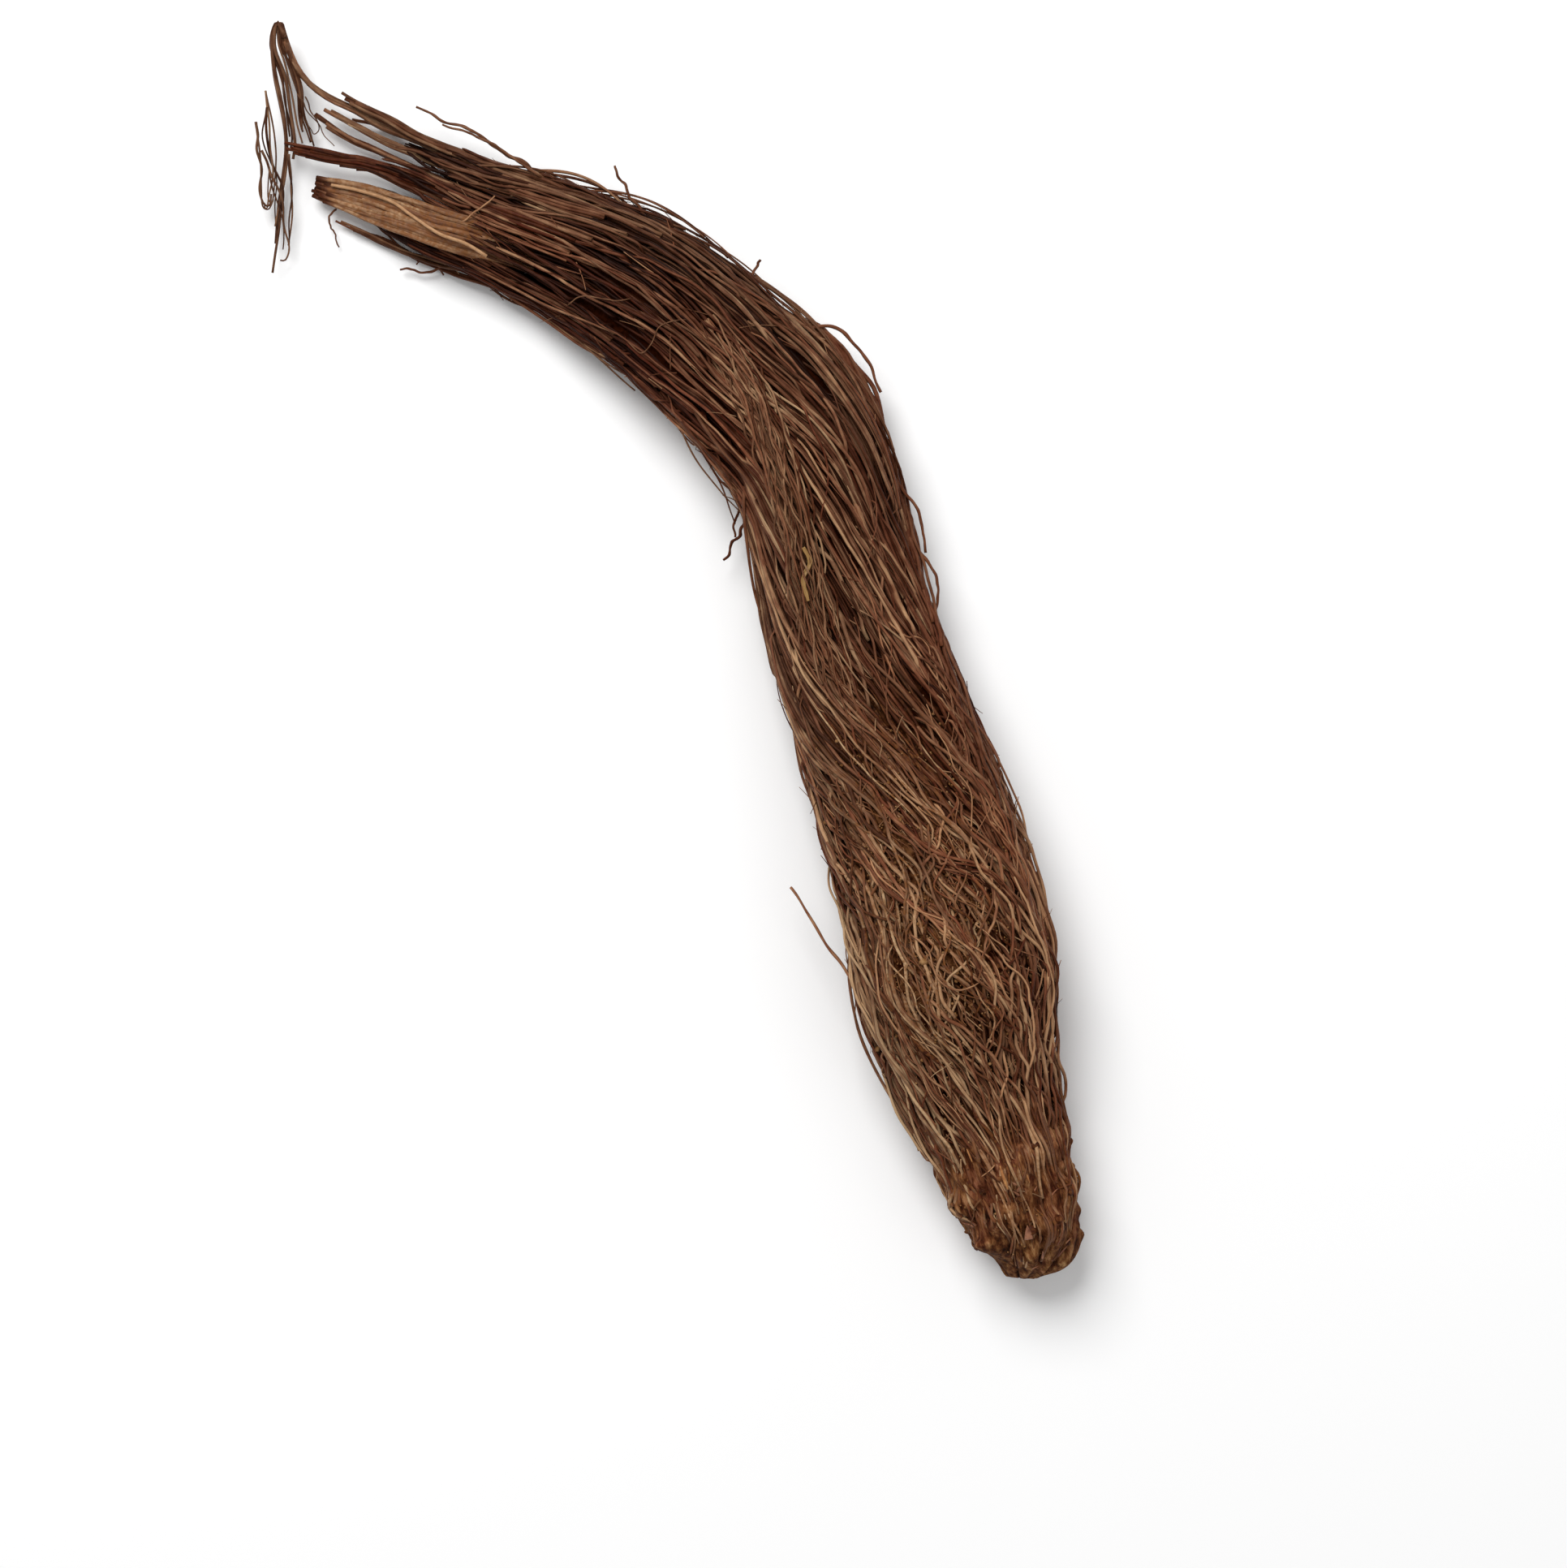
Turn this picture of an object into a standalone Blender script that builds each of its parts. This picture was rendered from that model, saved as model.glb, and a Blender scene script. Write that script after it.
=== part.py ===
"""A dried valerian root: a short rhizome and the long combed sheaf of rootlets that grew from it.

Run it with: blender --background --python part.py  (Blender 4.5, metres, +Z up)

The root lies on the plane z = 0, with the frayed ends of its rootlets at -X +Y and its rhizome
at +X -Y. The origin is under the middle of its box. The rhizome and the rootlets are one grown
body, so they are one solid: a sheaf whose surface is raised into rootlets by a formula, with the
loose rootlets rooted in it. A scrap of dry grass lies caught on top.
"""

import math

import bmesh
import bpy
import numpy as np
from mathutils import Vector
from mathutils.bvhtree import BVHTree

MM = 0.001
SEED = 21

# The sheaf's spine seen from above, from the frayed tail to the rhizome's tip:
# x, y, half width and half height, in millimetres.
SPINE_MM = (
    (-55.0, 90.0, 6.5, 2.2),
    (-39.0, 82.5, 9.4, 4.6),
    (-19.0, 74.5, 12.0, 7.0),
    (-1.0, 64.0, 13.8, 8.8),
    (14.5, 50.0, 14.4, 9.8),
    (25.5, 35.0, 14.0, 10.2),
    (31.0, 17.0, 14.0, 10.2),
    (36.0, -2.5, 15.2, 10.8),
    (43.0, -22.0, 16.6, 12.0),
    (50.0, -43.5, 17.6, 13.4),
    (53.5, -62.0, 18.0, 13.8),
    (57.0, -79.0, 15.8, 12.4),
    (62.0, -95.0, 13.4, 10.8),
    (66.5, -109.0, 10.4, 8.8),
    (68.0, -116.5, 7.2, 6.4),
)

# How the rootlets wind round the spine: they run straight along the tail, then wind towards the
# outer edge across the belly, and run straight again into the rhizome.
TWIST = math.radians(118)
TWIST_FROM, TWIST_TO = 0.30, 0.92

# The rootlets that are raised from the sheaf's surface.
SHEAF_RINGS = 30
RHIZOME_RINGS = 13
RIDGES = 42
RIDGE_HEIGHT = 0.72  # of a ridge's width
RIDGE_FADE = 0.6  # share of their height that ridges lose by the rhizome's tip
LOCKS = 9  # broad locks of rootlets round the sheaf
LOCK_HEIGHT = 0.9 * MM
RHIZOME_FROM = 0.86

# Where the ends of the sheaf begin to close, as places along the spine.
TAIL_CLOSES = 0.030
TIP_CLOSES = 0.955
CLOSING = (0.036, 0.052)

# The sheaf settles on the table at three places along the spine, where it is pressed flat.
# Between them its underside stands clear.
UNDERSIDE_HEIGHT = 0.8 * MM
SETTLES = (0.14, 0.50, 0.86)
SETTLE_DEPTH = 2.2 * MM
SETTLE_REACH = 0.05

# The knobs of the rhizome: place along the spine, angle round it and height in millimetres.
KNOB_RADIUS = 2.9 * MM
KNOBS = (
    (0.880, 178, 1.4),
    (0.892, 112, 1.7),
    (0.905, 14, 1.4),
    (0.908, 60, 1.6),
    (0.920, 84, 2.0),
    (0.932, 152, 2.4),
    (0.940, -8, 1.9),
    (0.945, 32, 1.8),
    (0.950, 112, 2.3),
    (0.964, 62, 2.6),
    (0.972, 140, 2.0),
    (0.982, 4, 2.2),
    (0.988, 92, 2.2),
    (0.978, 186, 2.2),
    (0.955, 235, 1.6),
    (0.965, 300, 1.6),
)

# Stubs of broken buds and thick rootlets on the rhizome: place along the spine, angle round it,
# length and radius in millimetres.
STUBS = (
    (0.905, 62, 1.6, 1.1),
    (0.925, 118, 1.8, 1.2),
    (0.945, 36, 1.4, 1.1),
    (0.962, 84, 1.8, 1.4),
    (0.968, 152, 1.6, 1.2),
    (0.975, 28, 1.4, 1.1),
)

# The frayed end of the tail. Each lock leaves the sheaf at a place along the spine and a share
# of its half width (+ is the outer edge), then runs through points in millimetres to its tip.
TAIL_LOCKS = (
    ("hook", 0.10, 0.75, 0.95, ((-48.5, 97.5, 4.2), (-58.0, 101.8, 5.0), (-65.6, 106.8, 5.6),
                                (-70.0, 111.8, 6.0), (-72.3, 116.8, 6.2))),
    ("top", 0.11, 0.95, 0.80, ((-44.0, 96.6, 4.6), (-54.0, 101.2, 5.6), (-61.6, 104.4, 6.4))),
    ("second", 0.08, 0.55, 0.75, ((-50.0, 95.8, 4.2), (-57.5, 98.6, 4.4), (-64.8, 101.8, 4.2))),
    ("third", 0.06, 0.30, 0.85, ((-53.0, 94.2, 3.6), (-60.0, 96.4, 3.4), (-66.4, 100.6, 3.0))),
    ("dark", 0.05, 0.15, 1.15, ((-55.0, 91.4, 4.6), (-63.0, 93.0, 4.6), (-71.4, 94.6, 4.4))),
    ("middle", 0.05, -0.10, 0.80, ((-54.0, 89.4, 2.6), (-61.0, 90.6, 2.2), (-68.0, 91.0, 1.8))),
    ("low", 0.07, -0.75, 0.80, ((-52.0, 79.2, 2.2), (-58.0, 79.0, 1.8), (-64.0, 81.4, 1.6))),
    ("lowest", 0.13, -0.95, 0.70, ((-45.0, 73.8, 2.0), (-52.0, 75.8, 1.6), (-58.6, 78.0, 1.4))),
    ("stub", 0.06, 0.65, 0.60, ((-50.0, 97.2, 2.2), (-55.0, 99.6, 1.6), (-60.0, 100.0, 1.2))),
)

# Rootlets matted side by side with soil make a flat lock that ends bluntly at the low side of
# the tail. The middle one's points are in millimetres.
MAT_POINTS = ((-36.0, 78.4, 3.6), (-48.0, 82.6, 3.8), (-58.0, 85.6, 3.4), (-66.4, 86.6, 2.8))
MAT_STRANDS = 6
MAT_STEP = 1.45 * MM
MAT_RADIUS = 1.0 * MM

# How far back into the sheaf a loose rootlet starts, as a share of the spine.
ROOT_RUN = 0.035

# Short ends that fray out of the tail between the locks.
FRINGE_COUNT = 14
FRINGE_LENGTH = (11.0, 21.0)

# Rootlets that cross over the others, each sunk at both ends.
RUNNERS = 8
RUNNER_RADIUS = 0.6 * MM

# Fine rootlets that hang down from the hook's tip beside the tail:
# share of the hook from its tip, tip x, tip y, radius in millimetres.
HOOK_HAIRS = (
    (0.02, -73.4, 71.0, 0.42),
    (0.10, -75.6, 83.8, 0.40),
    (0.16, -71.6, 77.0, 0.40),
    (0.26, -70.4, 88.8, 0.40),
    (0.06, -76.0, 98.0, 0.38),
)

# Single rootlets that stand out of the sheaf: share of the half width where they leave it,
# radius in millimetres, and points in millimetres to the tip.
STRAYS = (
    (0.85, 0.42, ((-24.8, 89.5, 9.0), (-31.5, 93.9, 8.6), (-36.8, 96.9, 8.0), (-46.4, 100.7, 7.0))),
    (0.90, 0.45, ((-1.5, 79.0, 10.5), (-6.0, 83.0, 11.0), (-9.5, 89.2, 11.5))),
    (0.92, 0.45, ((12.0, 65.5, 9.0), (15.5, 68.8, 9.6), (17.6, 72.4, 10.0))),
    (0.85, 0.50, ((20.5, 59.0, 8.0), (28.5, 60.5, 9.0), (35.0, 57.0, 9.0))),
    (-0.92, 0.50, ((16.6, 26.0, 8.0), (13.2, 21.6, 6.8), (10.8, 17.0, 5.6))),
    (0.88, 0.45, ((39.5, 35.5, 12.0), (43.5, 29.5, 11.5), (47.2, 24.4, 10.5))),
    (0.86, 0.42, ((47.0, 18.5, 12.0), (50.2, 13.0, 11.6), (49.6, 7.2, 11.6), (46.6, 1.0, 12.0))),
    (-0.80, 0.48, ((38.6, -64.0, 13.0), (33.8, -60.4, 12.0), (28.6, -52.6, 10.5),
                   (23.2, -44.2, 9.0))),
    (-0.85, 0.42, ((-36.0, 73.6, 2.6), (-44.0, 70.4, 2.0), (-50.2, 71.0, 1.8))),
    (0.86, 0.45, ((73.6, -84.0, 11.0), (76.0, -89.0, 9.4), (76.4, -94.4, 8.0))),
)

GRASS_POINTS_MM = ((25.4, 18.2), (26.6, 15.4), (25.4, 12.4), (26.3, 8.4))
GRASS_HALF_WIDTH = 0.65 * MM
GRASS_THICKNESS = 0.6 * MM
GRASS_WAVE = 0.25 * MM
CLEARANCE = 0.3 * MM
ABOVE = 100 * MM

ROOT_BROWN = (0.085, 0.034, 0.016, 1.0)
STRAW = (0.36, 0.20, 0.07, 1.0)


def clear_scene():
    for obj in list(bpy.data.objects):
        bpy.data.objects.remove(obj, do_unlink=True)


def curve_through(points, samples=24):
    """A Catmull-Rom curve through the points, as a dense array of rows."""
    p = np.asarray(points, float)
    p = np.vstack([2 * p[0] - p[1], p, 2 * p[-1] - p[-2]])
    t = np.linspace(0, 1, samples, endpoint=False)[:, None]
    spans = []
    for a, b, c, d in zip(p[:-3], p[1:-2], p[2:-1], p[3:]):
        spans.append(0.5 * (2 * b + (c - a) * t + (2 * a - 5 * b + 4 * c - d) * t**2
                            + (3 * b - a - 3 * c + d) * t**3))
    return np.vstack([*spans, p[-2:-1]])


def evenly(points, count):
    """The curve through the points, read at count places spaced evenly along it."""
    dense = curve_through(points)
    along = np.append(0, np.cumsum(np.linalg.norm(np.diff(dense, axis=0), axis=1)))
    at = np.linspace(0, along[-1], count)
    return np.stack([np.interp(at, along, column) for column in dense.T], 1)


def smooth_step(x):
    x = np.clip(x, 0, 1)
    return x * x * (3 - 2 * x)


class Sheaf:
    """The sheaf's spine, and the places that are measured from it. Place u runs from 0 at the
    tail to 1 at the rhizome's tip."""

    def __init__(self):
        dense = curve_through(SPINE_MM) * MM
        step = np.linalg.norm(np.diff(dense[:, :2], axis=0), axis=1)
        self.length = step.sum()
        self.along = np.append(0, np.cumsum(step)) / self.length
        self.table = dense
        self.heading = np.gradient(dense[:, :2], self.along, axis=0)
        self.heading /= np.linalg.norm(self.heading, axis=1)[:, None]

    def read(self, u):
        """Centre, direction to the outer edge, half width and half height at u."""
        x, y, wide, high = (np.interp(u, self.along, column) for column in self.table.T)
        hx, hy = (np.interp(u, self.along, column) for column in self.heading.T)
        centre = np.stack([x, y, high + UNDERSIDE_HEIGHT], -1)
        outward = np.stack([-hy, hx, 0 * hx], -1)
        return centre, outward, wide, high

    def nearest(self, point):
        """The place along the spine that is nearest to a point, seen from above."""
        apart = np.linalg.norm(self.table[:, :2] - point[:2], axis=1)
        return self.along[np.argmin(apart)]

    def point(self, u, angle, share=1.0, lift=0.0):
        """The point at u and at an angle round the spine, where 0 is the outer edge and a
        quarter turn is up. It lies at a share of the section, plus a lift in metres."""
        centre, outward, wide, high = self.read(u)
        up = np.array([0.0, 0.0, 1.0])
        across = (wide * share + lift) * np.cos(angle)
        raised = (high * share + lift) * np.sin(angle)
        return centre + outward * across[..., None] + up * raised[..., None]


def winding(u):
    return -TWIST * smooth_step((u - TWIST_FROM) / (TWIST_TO - TWIST_FROM))


def waves(rng, count, u, slow, fast):
    """One smooth wave along u for each of count rootlets, between about -1 and 1."""
    phase = rng.uniform(0, 2 * math.pi, (2, count))
    long_wave = np.sin(2 * math.pi * slow * u[:, None] + phase[0])
    short_wave = np.sin(2 * math.pi * fast * u[:, None] + phase[1])
    return 0.65 * long_wave + 0.35 * short_wave


def knob_height(u, angle, sheaf):
    """The rhizome's knobs: a round hill at each place, added up."""
    wide, high = sheaf.read(u)[2:]
    total = np.zeros_like(u)
    for place, degrees, height in KNOBS:
        knob_angle = math.radians(degrees)
        turn = (angle - knob_angle + math.pi) % (2 * math.pi) - math.pi
        apart = np.hypot((u - place) * sheaf.length, turn * (wide + high) / 2)
        total += height * MM * np.exp(-((apart / KNOB_RADIUS) ** 2))
    return total


def ring_places():
    """Places of the rings along the spine, closer together on the rhizome."""
    sheaf = np.linspace(0, RHIZOME_FROM, SHEAF_RINGS, endpoint=False)
    rhizome = RHIZOME_FROM + (1 - RHIZOME_FROM) * np.sin(np.linspace(0, math.pi / 2, RHIZOME_RINGS))
    return np.append(sheaf, rhizome)


def settled(u):
    """How far the sheaf is pressed down on the table at u."""
    near = [np.exp(-(((u - place) / SETTLE_REACH) ** 2)) for place in SETTLES]
    return SETTLE_DEPTH * np.sum(near, axis=0)


def closing(u):
    """The share of its section that the sheaf keeps at u, where its two ends close."""
    past_tip = np.clip((u - TIP_CLOSES) / CLOSING[1], 0, 1)
    past_tail = np.clip((TAIL_CLOSES - u) / CLOSING[0], 0, 1)
    return np.sqrt(1 - past_tip**2) * np.sqrt(1 - past_tail**2)


def sheaf_surface(sheaf, rng):
    """Rings of points in which every second point is the crest of a rootlet. Crests rise and
    sink, and lean from side to side, so that the rootlets dive under one another."""
    u = ring_places()
    columns = 2 * RIDGES
    widths = np.repeat(rng.uniform(0.6, 1.4, RIDGES), 2)
    even = 2 * math.pi * np.cumsum(widths) / widths.sum()
    lean = waves(rng, columns, u, 1.6, 4.3) * (0.26 * 2 * math.pi / columns)
    angle = even[None, :] + winding(u)[:, None] + lean
    wide, high = sheaf.read(u)[2:]
    ridge_width = math.pi * (wide + high) / RIDGES
    crest = (np.arange(columns) % 2 == 0) * 1.0
    rise = 0.75 + 0.30 * waves(rng, columns, u, 2.1, 5.2)
    locks = waves(rng, LOCKS, u, 1.1, 2.6)
    lock_of = (np.arange(columns) * LOCKS) // columns
    fade = 1 - RIDGE_FADE * smooth_step((u - RHIZOME_FROM) / (1 - RHIZOME_FROM))
    lift = (ridge_width * RIDGE_HEIGHT * fade)[:, None] * crest * rise * widths
    lift += LOCK_HEIGHT * (wide / wide.max())[:, None] * locks[:, lock_of]
    grid_u = np.broadcast_to(u[:, None], angle.shape)
    lift += knob_height(grid_u, angle, sheaf)
    share = np.broadcast_to(closing(u)[:, None], angle.shape)
    points = sheaf.point(grid_u, angle, share, lift * share)
    points[..., 2] = np.maximum(points[..., 2] - settled(u)[:, None], 0.0)
    return points


def closed_mesh(name, rings, material):
    """Rings of points joined by faces, with a point in the middle of each end ring."""
    count, columns = rings.shape[:2]
    ends = [rings[0].mean(0), rings[-1].mean(0)]
    points = np.vstack([rings.reshape(-1, 3), ends])
    first, last = count * columns, count * columns + 1
    faces = []
    for j in range(columns):
        k = (j + 1) % columns
        for i in range(count - 1):
            a, b = i * columns, (i + 1) * columns
            faces.append((a + j, b + j, b + k, a + k))
        faces.append((j, k, first))
        faces.append(((count - 1) * columns + k, (count - 1) * columns + j, last))
    mesh = bpy.data.meshes.new(name)
    mesh.from_pydata(points.tolist(), [], faces)
    mesh.materials.append(material)
    shape = bmesh.new()
    shape.from_mesh(mesh)
    bmesh.ops.triangulate(shape, faces=shape.faces[:])
    bmesh.ops.recalc_face_normals(shape, faces=shape.faces[:])
    shape.to_mesh(mesh)
    shape.free()
    obj = bpy.data.objects.new(name, mesh)
    bpy.context.scene.collection.objects.link(obj)
    return obj


def rootlet(name, points, radius, material, sides=4, segments=6, flat=None, tip=0.55):
    """A rootlet swept along its points and thinned towards its tip. With flat, it is a strip
    of that half thickness that lies level."""
    path = evenly(points, segments + 1)
    heading = np.gradient(path, axis=0)
    heading /= np.linalg.norm(heading, axis=1)[:, None]
    level = np.cross(heading, [0.0, 0.0, 1.0])
    level /= np.linalg.norm(level, axis=1)[:, None]
    over = np.cross(level, heading)
    turn = 2 * math.pi * (np.arange(sides) + 0.5) / sides
    size = np.linspace(1.0, tip, segments + 1)
    across = level[:, None, :] * (np.cos(turn)[None, :, None] * radius * size[:, None, None])
    thick = over[:, None, :] * (np.sin(turn)[None, :, None] * (flat or radius) * size[:, None, None])
    return closed_mesh(name, path[:, None, :] + across + thick, material)


def rooted(sheaf, place, side, points, run=ROOT_RUN):
    """The points of a loose rootlet, led back into the sheaf so that it grows out of it."""
    u = np.array([place + run, place])
    angle = np.full(2, math.acos(side))
    inside = sheaf.point(u, angle, np.array([0.45, 0.80]))
    return np.vstack([inside, np.array(points) * MM])


def tail_locks(sheaf, material):
    made = []
    for name, place, side, radius, points in TAIL_LOCKS:
        path = rooted(sheaf, place, side, points)
        made.append(rootlet("lock_" + name, path, radius * MM, material, segments=8))
    return made


def matted_lock(rng, material):
    """Thick rootlets stuck side by side, each ending at its own length."""
    made = []
    for index in range(MAT_STRANDS):
        middle = evenly(np.array(MAT_POINTS) * MM, 7)
        heading = np.gradient(middle, axis=0)
        heading /= np.linalg.norm(heading, axis=1)[:, None]
        aside = np.stack([-heading[:, 1], heading[:, 0], 0 * heading[:, 0]], 1)
        offset = (index - (MAT_STRANDS - 1) / 2) * MAT_STEP
        path = middle + aside * offset
        path[:, 2] += rng.uniform(-0.25, 0.25) * MM
        path[-1] += (path[-1] - path[-2]) * rng.uniform(-0.5, 0.25)
        made.append(rootlet(f"mat_{index}", path, MAT_RADIUS, material, segments=5, tip=0.75))
    return made


def fringe(sheaf, rng, material):
    """Short ends that leave the tail at all heights, mostly straight on."""
    made = []
    for index in range(FRINGE_COUNT):
        side = rng.uniform(-0.95, 0.95)
        place = 0.03 + 0.05 * abs(side)
        angle = math.acos(side) * rng.choice((1.0, 1.0, -0.6))
        start = sheaf.point(np.array([place]), np.array([angle]), 0.75)[0]
        inside = sheaf.point(np.array([place + 0.05]), np.array([angle]), 0.60)[0]
        onward = start - inside
        onward /= np.linalg.norm(onward)
        length = rng.uniform(*FRINGE_LENGTH) * MM
        bend = np.array([0.0, rng.uniform(-0.22, 0.22) + 0.12 * side, rng.uniform(-0.06, 0.05)])
        half = start + (onward + 0.4 * bend) * length / 2
        tip = start + (onward + 1.3 * bend) * length
        path = np.vstack([inside, start, half, tip])
        path[:, 2] = np.maximum(path[:, 2], 0.8 * MM)
        radius = rng.uniform(0.42, 0.68) * MM
        made.append(rootlet(f"fringe_{index}", path, radius, material, segments=5))
    return made


def runners(sheaf, rng, material):
    """Rootlets that run over the sheaf aslant, with both ends sunk in it."""
    made = []
    for index in range(RUNNERS):
        place = 0.18 + 0.62 * (index + rng.uniform(0.1, 0.9)) / RUNNERS
        reach = rng.uniform(0.10, 0.17)
        slant = rng.choice((-1, 1)) * rng.uniform(0.25, 0.6)
        turn = rng.uniform(0.20, 0.75) * math.pi
        at = np.linspace(0, 1, 6)
        u = place + reach * at
        angle = turn + winding(u) - winding(place) + slant * at
        lift = LOCK_HEIGHT * 0.5 + 0.5 * MM - 3.6 * MM * (2 * at - 1) ** 4
        path = sheaf.point(u, angle, 1.0, lift)
        made.append(rootlet(f"runner_{index}", path, RUNNER_RADIUS, material, segments=9, tip=0.9))
    return made


def hook_hairs(sheaf, material):
    """Fine rootlets that leave the hook near its tip and hang beside the tail."""
    hook = TAIL_LOCKS[0]
    route = evenly(rooted(sheaf, hook[1], hook[2], hook[4]), 60)[::-1]
    made = []
    for index, (share, x, y, radius) in enumerate(HOOK_HAIRS):
        leave = route[int(share * len(route))]
        tip = np.array([x, y, 1.6]) * MM
        away = leave + np.array([-1.2, -2.6, 0.2]) * MM
        sway = np.array([-0.8 + 0.5 * index, 0.0, 0.4]) * MM
        middle = leave * 0.5 + tip * 0.5 + sway
        path = np.vstack([leave, away, middle, tip])
        made.append(rootlet(f"hair_{index}", path, radius * MM, material, segments=9, tip=0.8))
    return made


def strays(sheaf, material):
    """Each stray grows out of the sheaf a little way behind its first loose point."""
    made = []
    for index, (side, radius, points) in enumerate(STRAYS):
        first, last = (sheaf.nearest(np.array(points[end]) * MM) for end in (0, -1))
        back = math.copysign(ROOT_RUN, first - last)
        path = rooted(sheaf, first + back / 2, side, points, back)
        made.append(rootlet(f"stray_{index}", path, radius * MM, material, segments=8, tip=0.85))
    return made


def stubs(sheaf, material):
    """Short pegs on the rhizome that lean towards its tip."""
    made = []
    for index, (place, degrees, length, radius) in enumerate(STUBS):
        u = place + np.array([-0.012, 0.0, 0.014])
        angle = np.full(3, math.radians(degrees))
        outside = np.array([-3.0, 0.0, length]) * MM
        lift = (knob_height(u, angle, sheaf) + outside) * closing(u)
        path = sheaf.point(u, angle, closing(u), lift)
        path[:, 2] -= settled(u)
        made.append(rootlet(f"stub_{index}", path, radius * MM, material, sides=5, segments=3))
    return made


def keep_outer_skin(mesh):
    """Fills the pockets that fusing sealed under rootlets, by removing every patch of faces
    that isn't joined to the largest one."""
    shape = bmesh.new()
    shape.from_mesh(mesh)
    unseen = set(shape.verts)
    patches = []
    while unseen:
        patch = set()
        waiting = [unseen.pop()]
        while waiting:
            vert = waiting.pop()
            patch.add(vert)
            beside = {edge.other_vert(vert) for edge in vert.link_edges} & unseen
            unseen -= beside
            waiting.extend(beside)
        patches.append(patch)
    outer = max(patches, key=len)
    inner = [vert for vert in shape.verts if vert not in outer]
    bmesh.ops.delete(shape, geom=inner, context="VERTS")
    shape.to_mesh(mesh)
    shape.free()


def fuse(body, parts):
    """Joins the loose rootlets to the sheaf, so that the root is one solid."""
    group = bpy.data.collections.new("rootlets")
    bpy.context.scene.collection.children.link(group)
    for part in parts:
        bpy.context.scene.collection.objects.unlink(part)
        group.objects.link(part)
    union = body.modifiers.new("fuse", "BOOLEAN")
    union.operation = "UNION"
    union.operand_type = "COLLECTION"
    union.collection = group
    union.solver = "MANIFOLD"  # the exact solver leaves open edges between the matted strands
    graph = bpy.context.evaluated_depsgraph_get()
    fused = bpy.data.meshes.new_from_object(body.evaluated_get(graph))
    body.modifiers.clear()
    keep_outer_skin(fused)
    body.data = fused
    for part in list(group.objects):
        bpy.data.objects.remove(part, do_unlink=True)
    bpy.data.collections.remove(group)


def finish_material(name, colour, roughness):
    material = bpy.data.materials.new(name)
    material.use_nodes = True
    shader = material.node_tree.nodes["Principled BSDF"]
    shader.inputs["Base Color"].default_value = colour
    shader.inputs["Roughness"].default_value = roughness
    return material


def grass_scrap(root, material):
    """A creased scrap of dry grass that rests on the highest rootlets under it."""
    graph = bpy.context.evaluated_depsgraph_get()
    surface = BVHTree.FromObject(root, graph)
    path = evenly(np.array(GRASS_POINTS_MM) * MM, 9)
    reach = GRASS_HALF_WIDTH + CLEARANCE
    heights = []
    for x, y in path:
        around = [(dx, dy) for dx in (-reach, 0, reach) for dy in (-reach, 0, reach)]
        starts = [Vector((x + dx, y + dy, ABOVE)) for dx, dy in around]
        hits = [surface.ray_cast(start, Vector((0, 0, -1)))[0] for start in starts]
        heights.append(max(hit.z for hit in hits if hit))
    level = max(heights) + CLEARANCE + GRASS_THICKNESS / 2
    line = np.column_stack([path, np.full(len(path), level)])
    line[:, 2] += GRASS_WAVE * np.abs(np.sin(np.linspace(0, 3 * math.pi, len(path))))
    return rootlet("grass_scrap", line, GRASS_HALF_WIDTH * math.sqrt(2), material, segments=8,
                   flat=GRASS_THICKNESS / math.sqrt(2), tip=0.75)


def main():
    clear_scene()
    rng = np.random.default_rng(SEED)
    sheaf = Sheaf()
    root_finish = finish_material("dried_root", ROOT_BROWN, 0.7)
    straw_finish = finish_material("dry_grass", STRAW, 0.6)
    root = closed_mesh("valerian_root", sheaf_surface(sheaf, rng), root_finish)
    loose = tail_locks(sheaf, root_finish) + matted_lock(rng, root_finish)
    loose += fringe(sheaf, rng, root_finish) + hook_hairs(sheaf, root_finish)
    loose += strays(sheaf, root_finish) + runners(sheaf, rng, root_finish)
    loose += stubs(sheaf, root_finish)
    fuse(root, loose)
    grass_scrap(root, straw_finish)


main()
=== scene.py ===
"""Looks of a dried valerian root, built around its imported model.

A valerian root is one grown thing: a short knobbly rhizome and some hundreds of rootlets, combed
into a long curved sheaf. The sections follow it from the heart of the sheaf out to its loose ends,
and then the rhizome, the soil and the scrap of grass that are caught in it.
"""

import math

import bpy
import numpy as np
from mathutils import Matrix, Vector


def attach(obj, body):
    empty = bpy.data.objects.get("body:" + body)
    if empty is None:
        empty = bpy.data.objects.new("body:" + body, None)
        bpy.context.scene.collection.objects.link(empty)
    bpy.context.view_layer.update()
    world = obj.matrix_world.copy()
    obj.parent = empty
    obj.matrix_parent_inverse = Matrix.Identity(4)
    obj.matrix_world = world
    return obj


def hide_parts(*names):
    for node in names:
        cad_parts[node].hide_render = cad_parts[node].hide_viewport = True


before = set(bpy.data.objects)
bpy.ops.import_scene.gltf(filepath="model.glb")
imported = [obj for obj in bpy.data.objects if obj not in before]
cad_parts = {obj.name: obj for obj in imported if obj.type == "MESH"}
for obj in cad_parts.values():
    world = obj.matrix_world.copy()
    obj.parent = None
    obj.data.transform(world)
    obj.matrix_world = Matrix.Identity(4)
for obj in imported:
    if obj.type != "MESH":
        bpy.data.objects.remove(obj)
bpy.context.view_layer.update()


# The heart of the sheaf
# Behind the outermost rootlets of a valerian lies a dense felt of older ones. It is dried root
# bark, coloured near black as painted shade for the gaps, and ochre where soil has washed
# into it. The rootlets grew from the rhizome, so everything here is laid along the sheaf's
# curved spine.
MM = 0.001
UP = np.array([0.0, 0.0, 1.0])
SHEAF_SEED = 7

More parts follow.
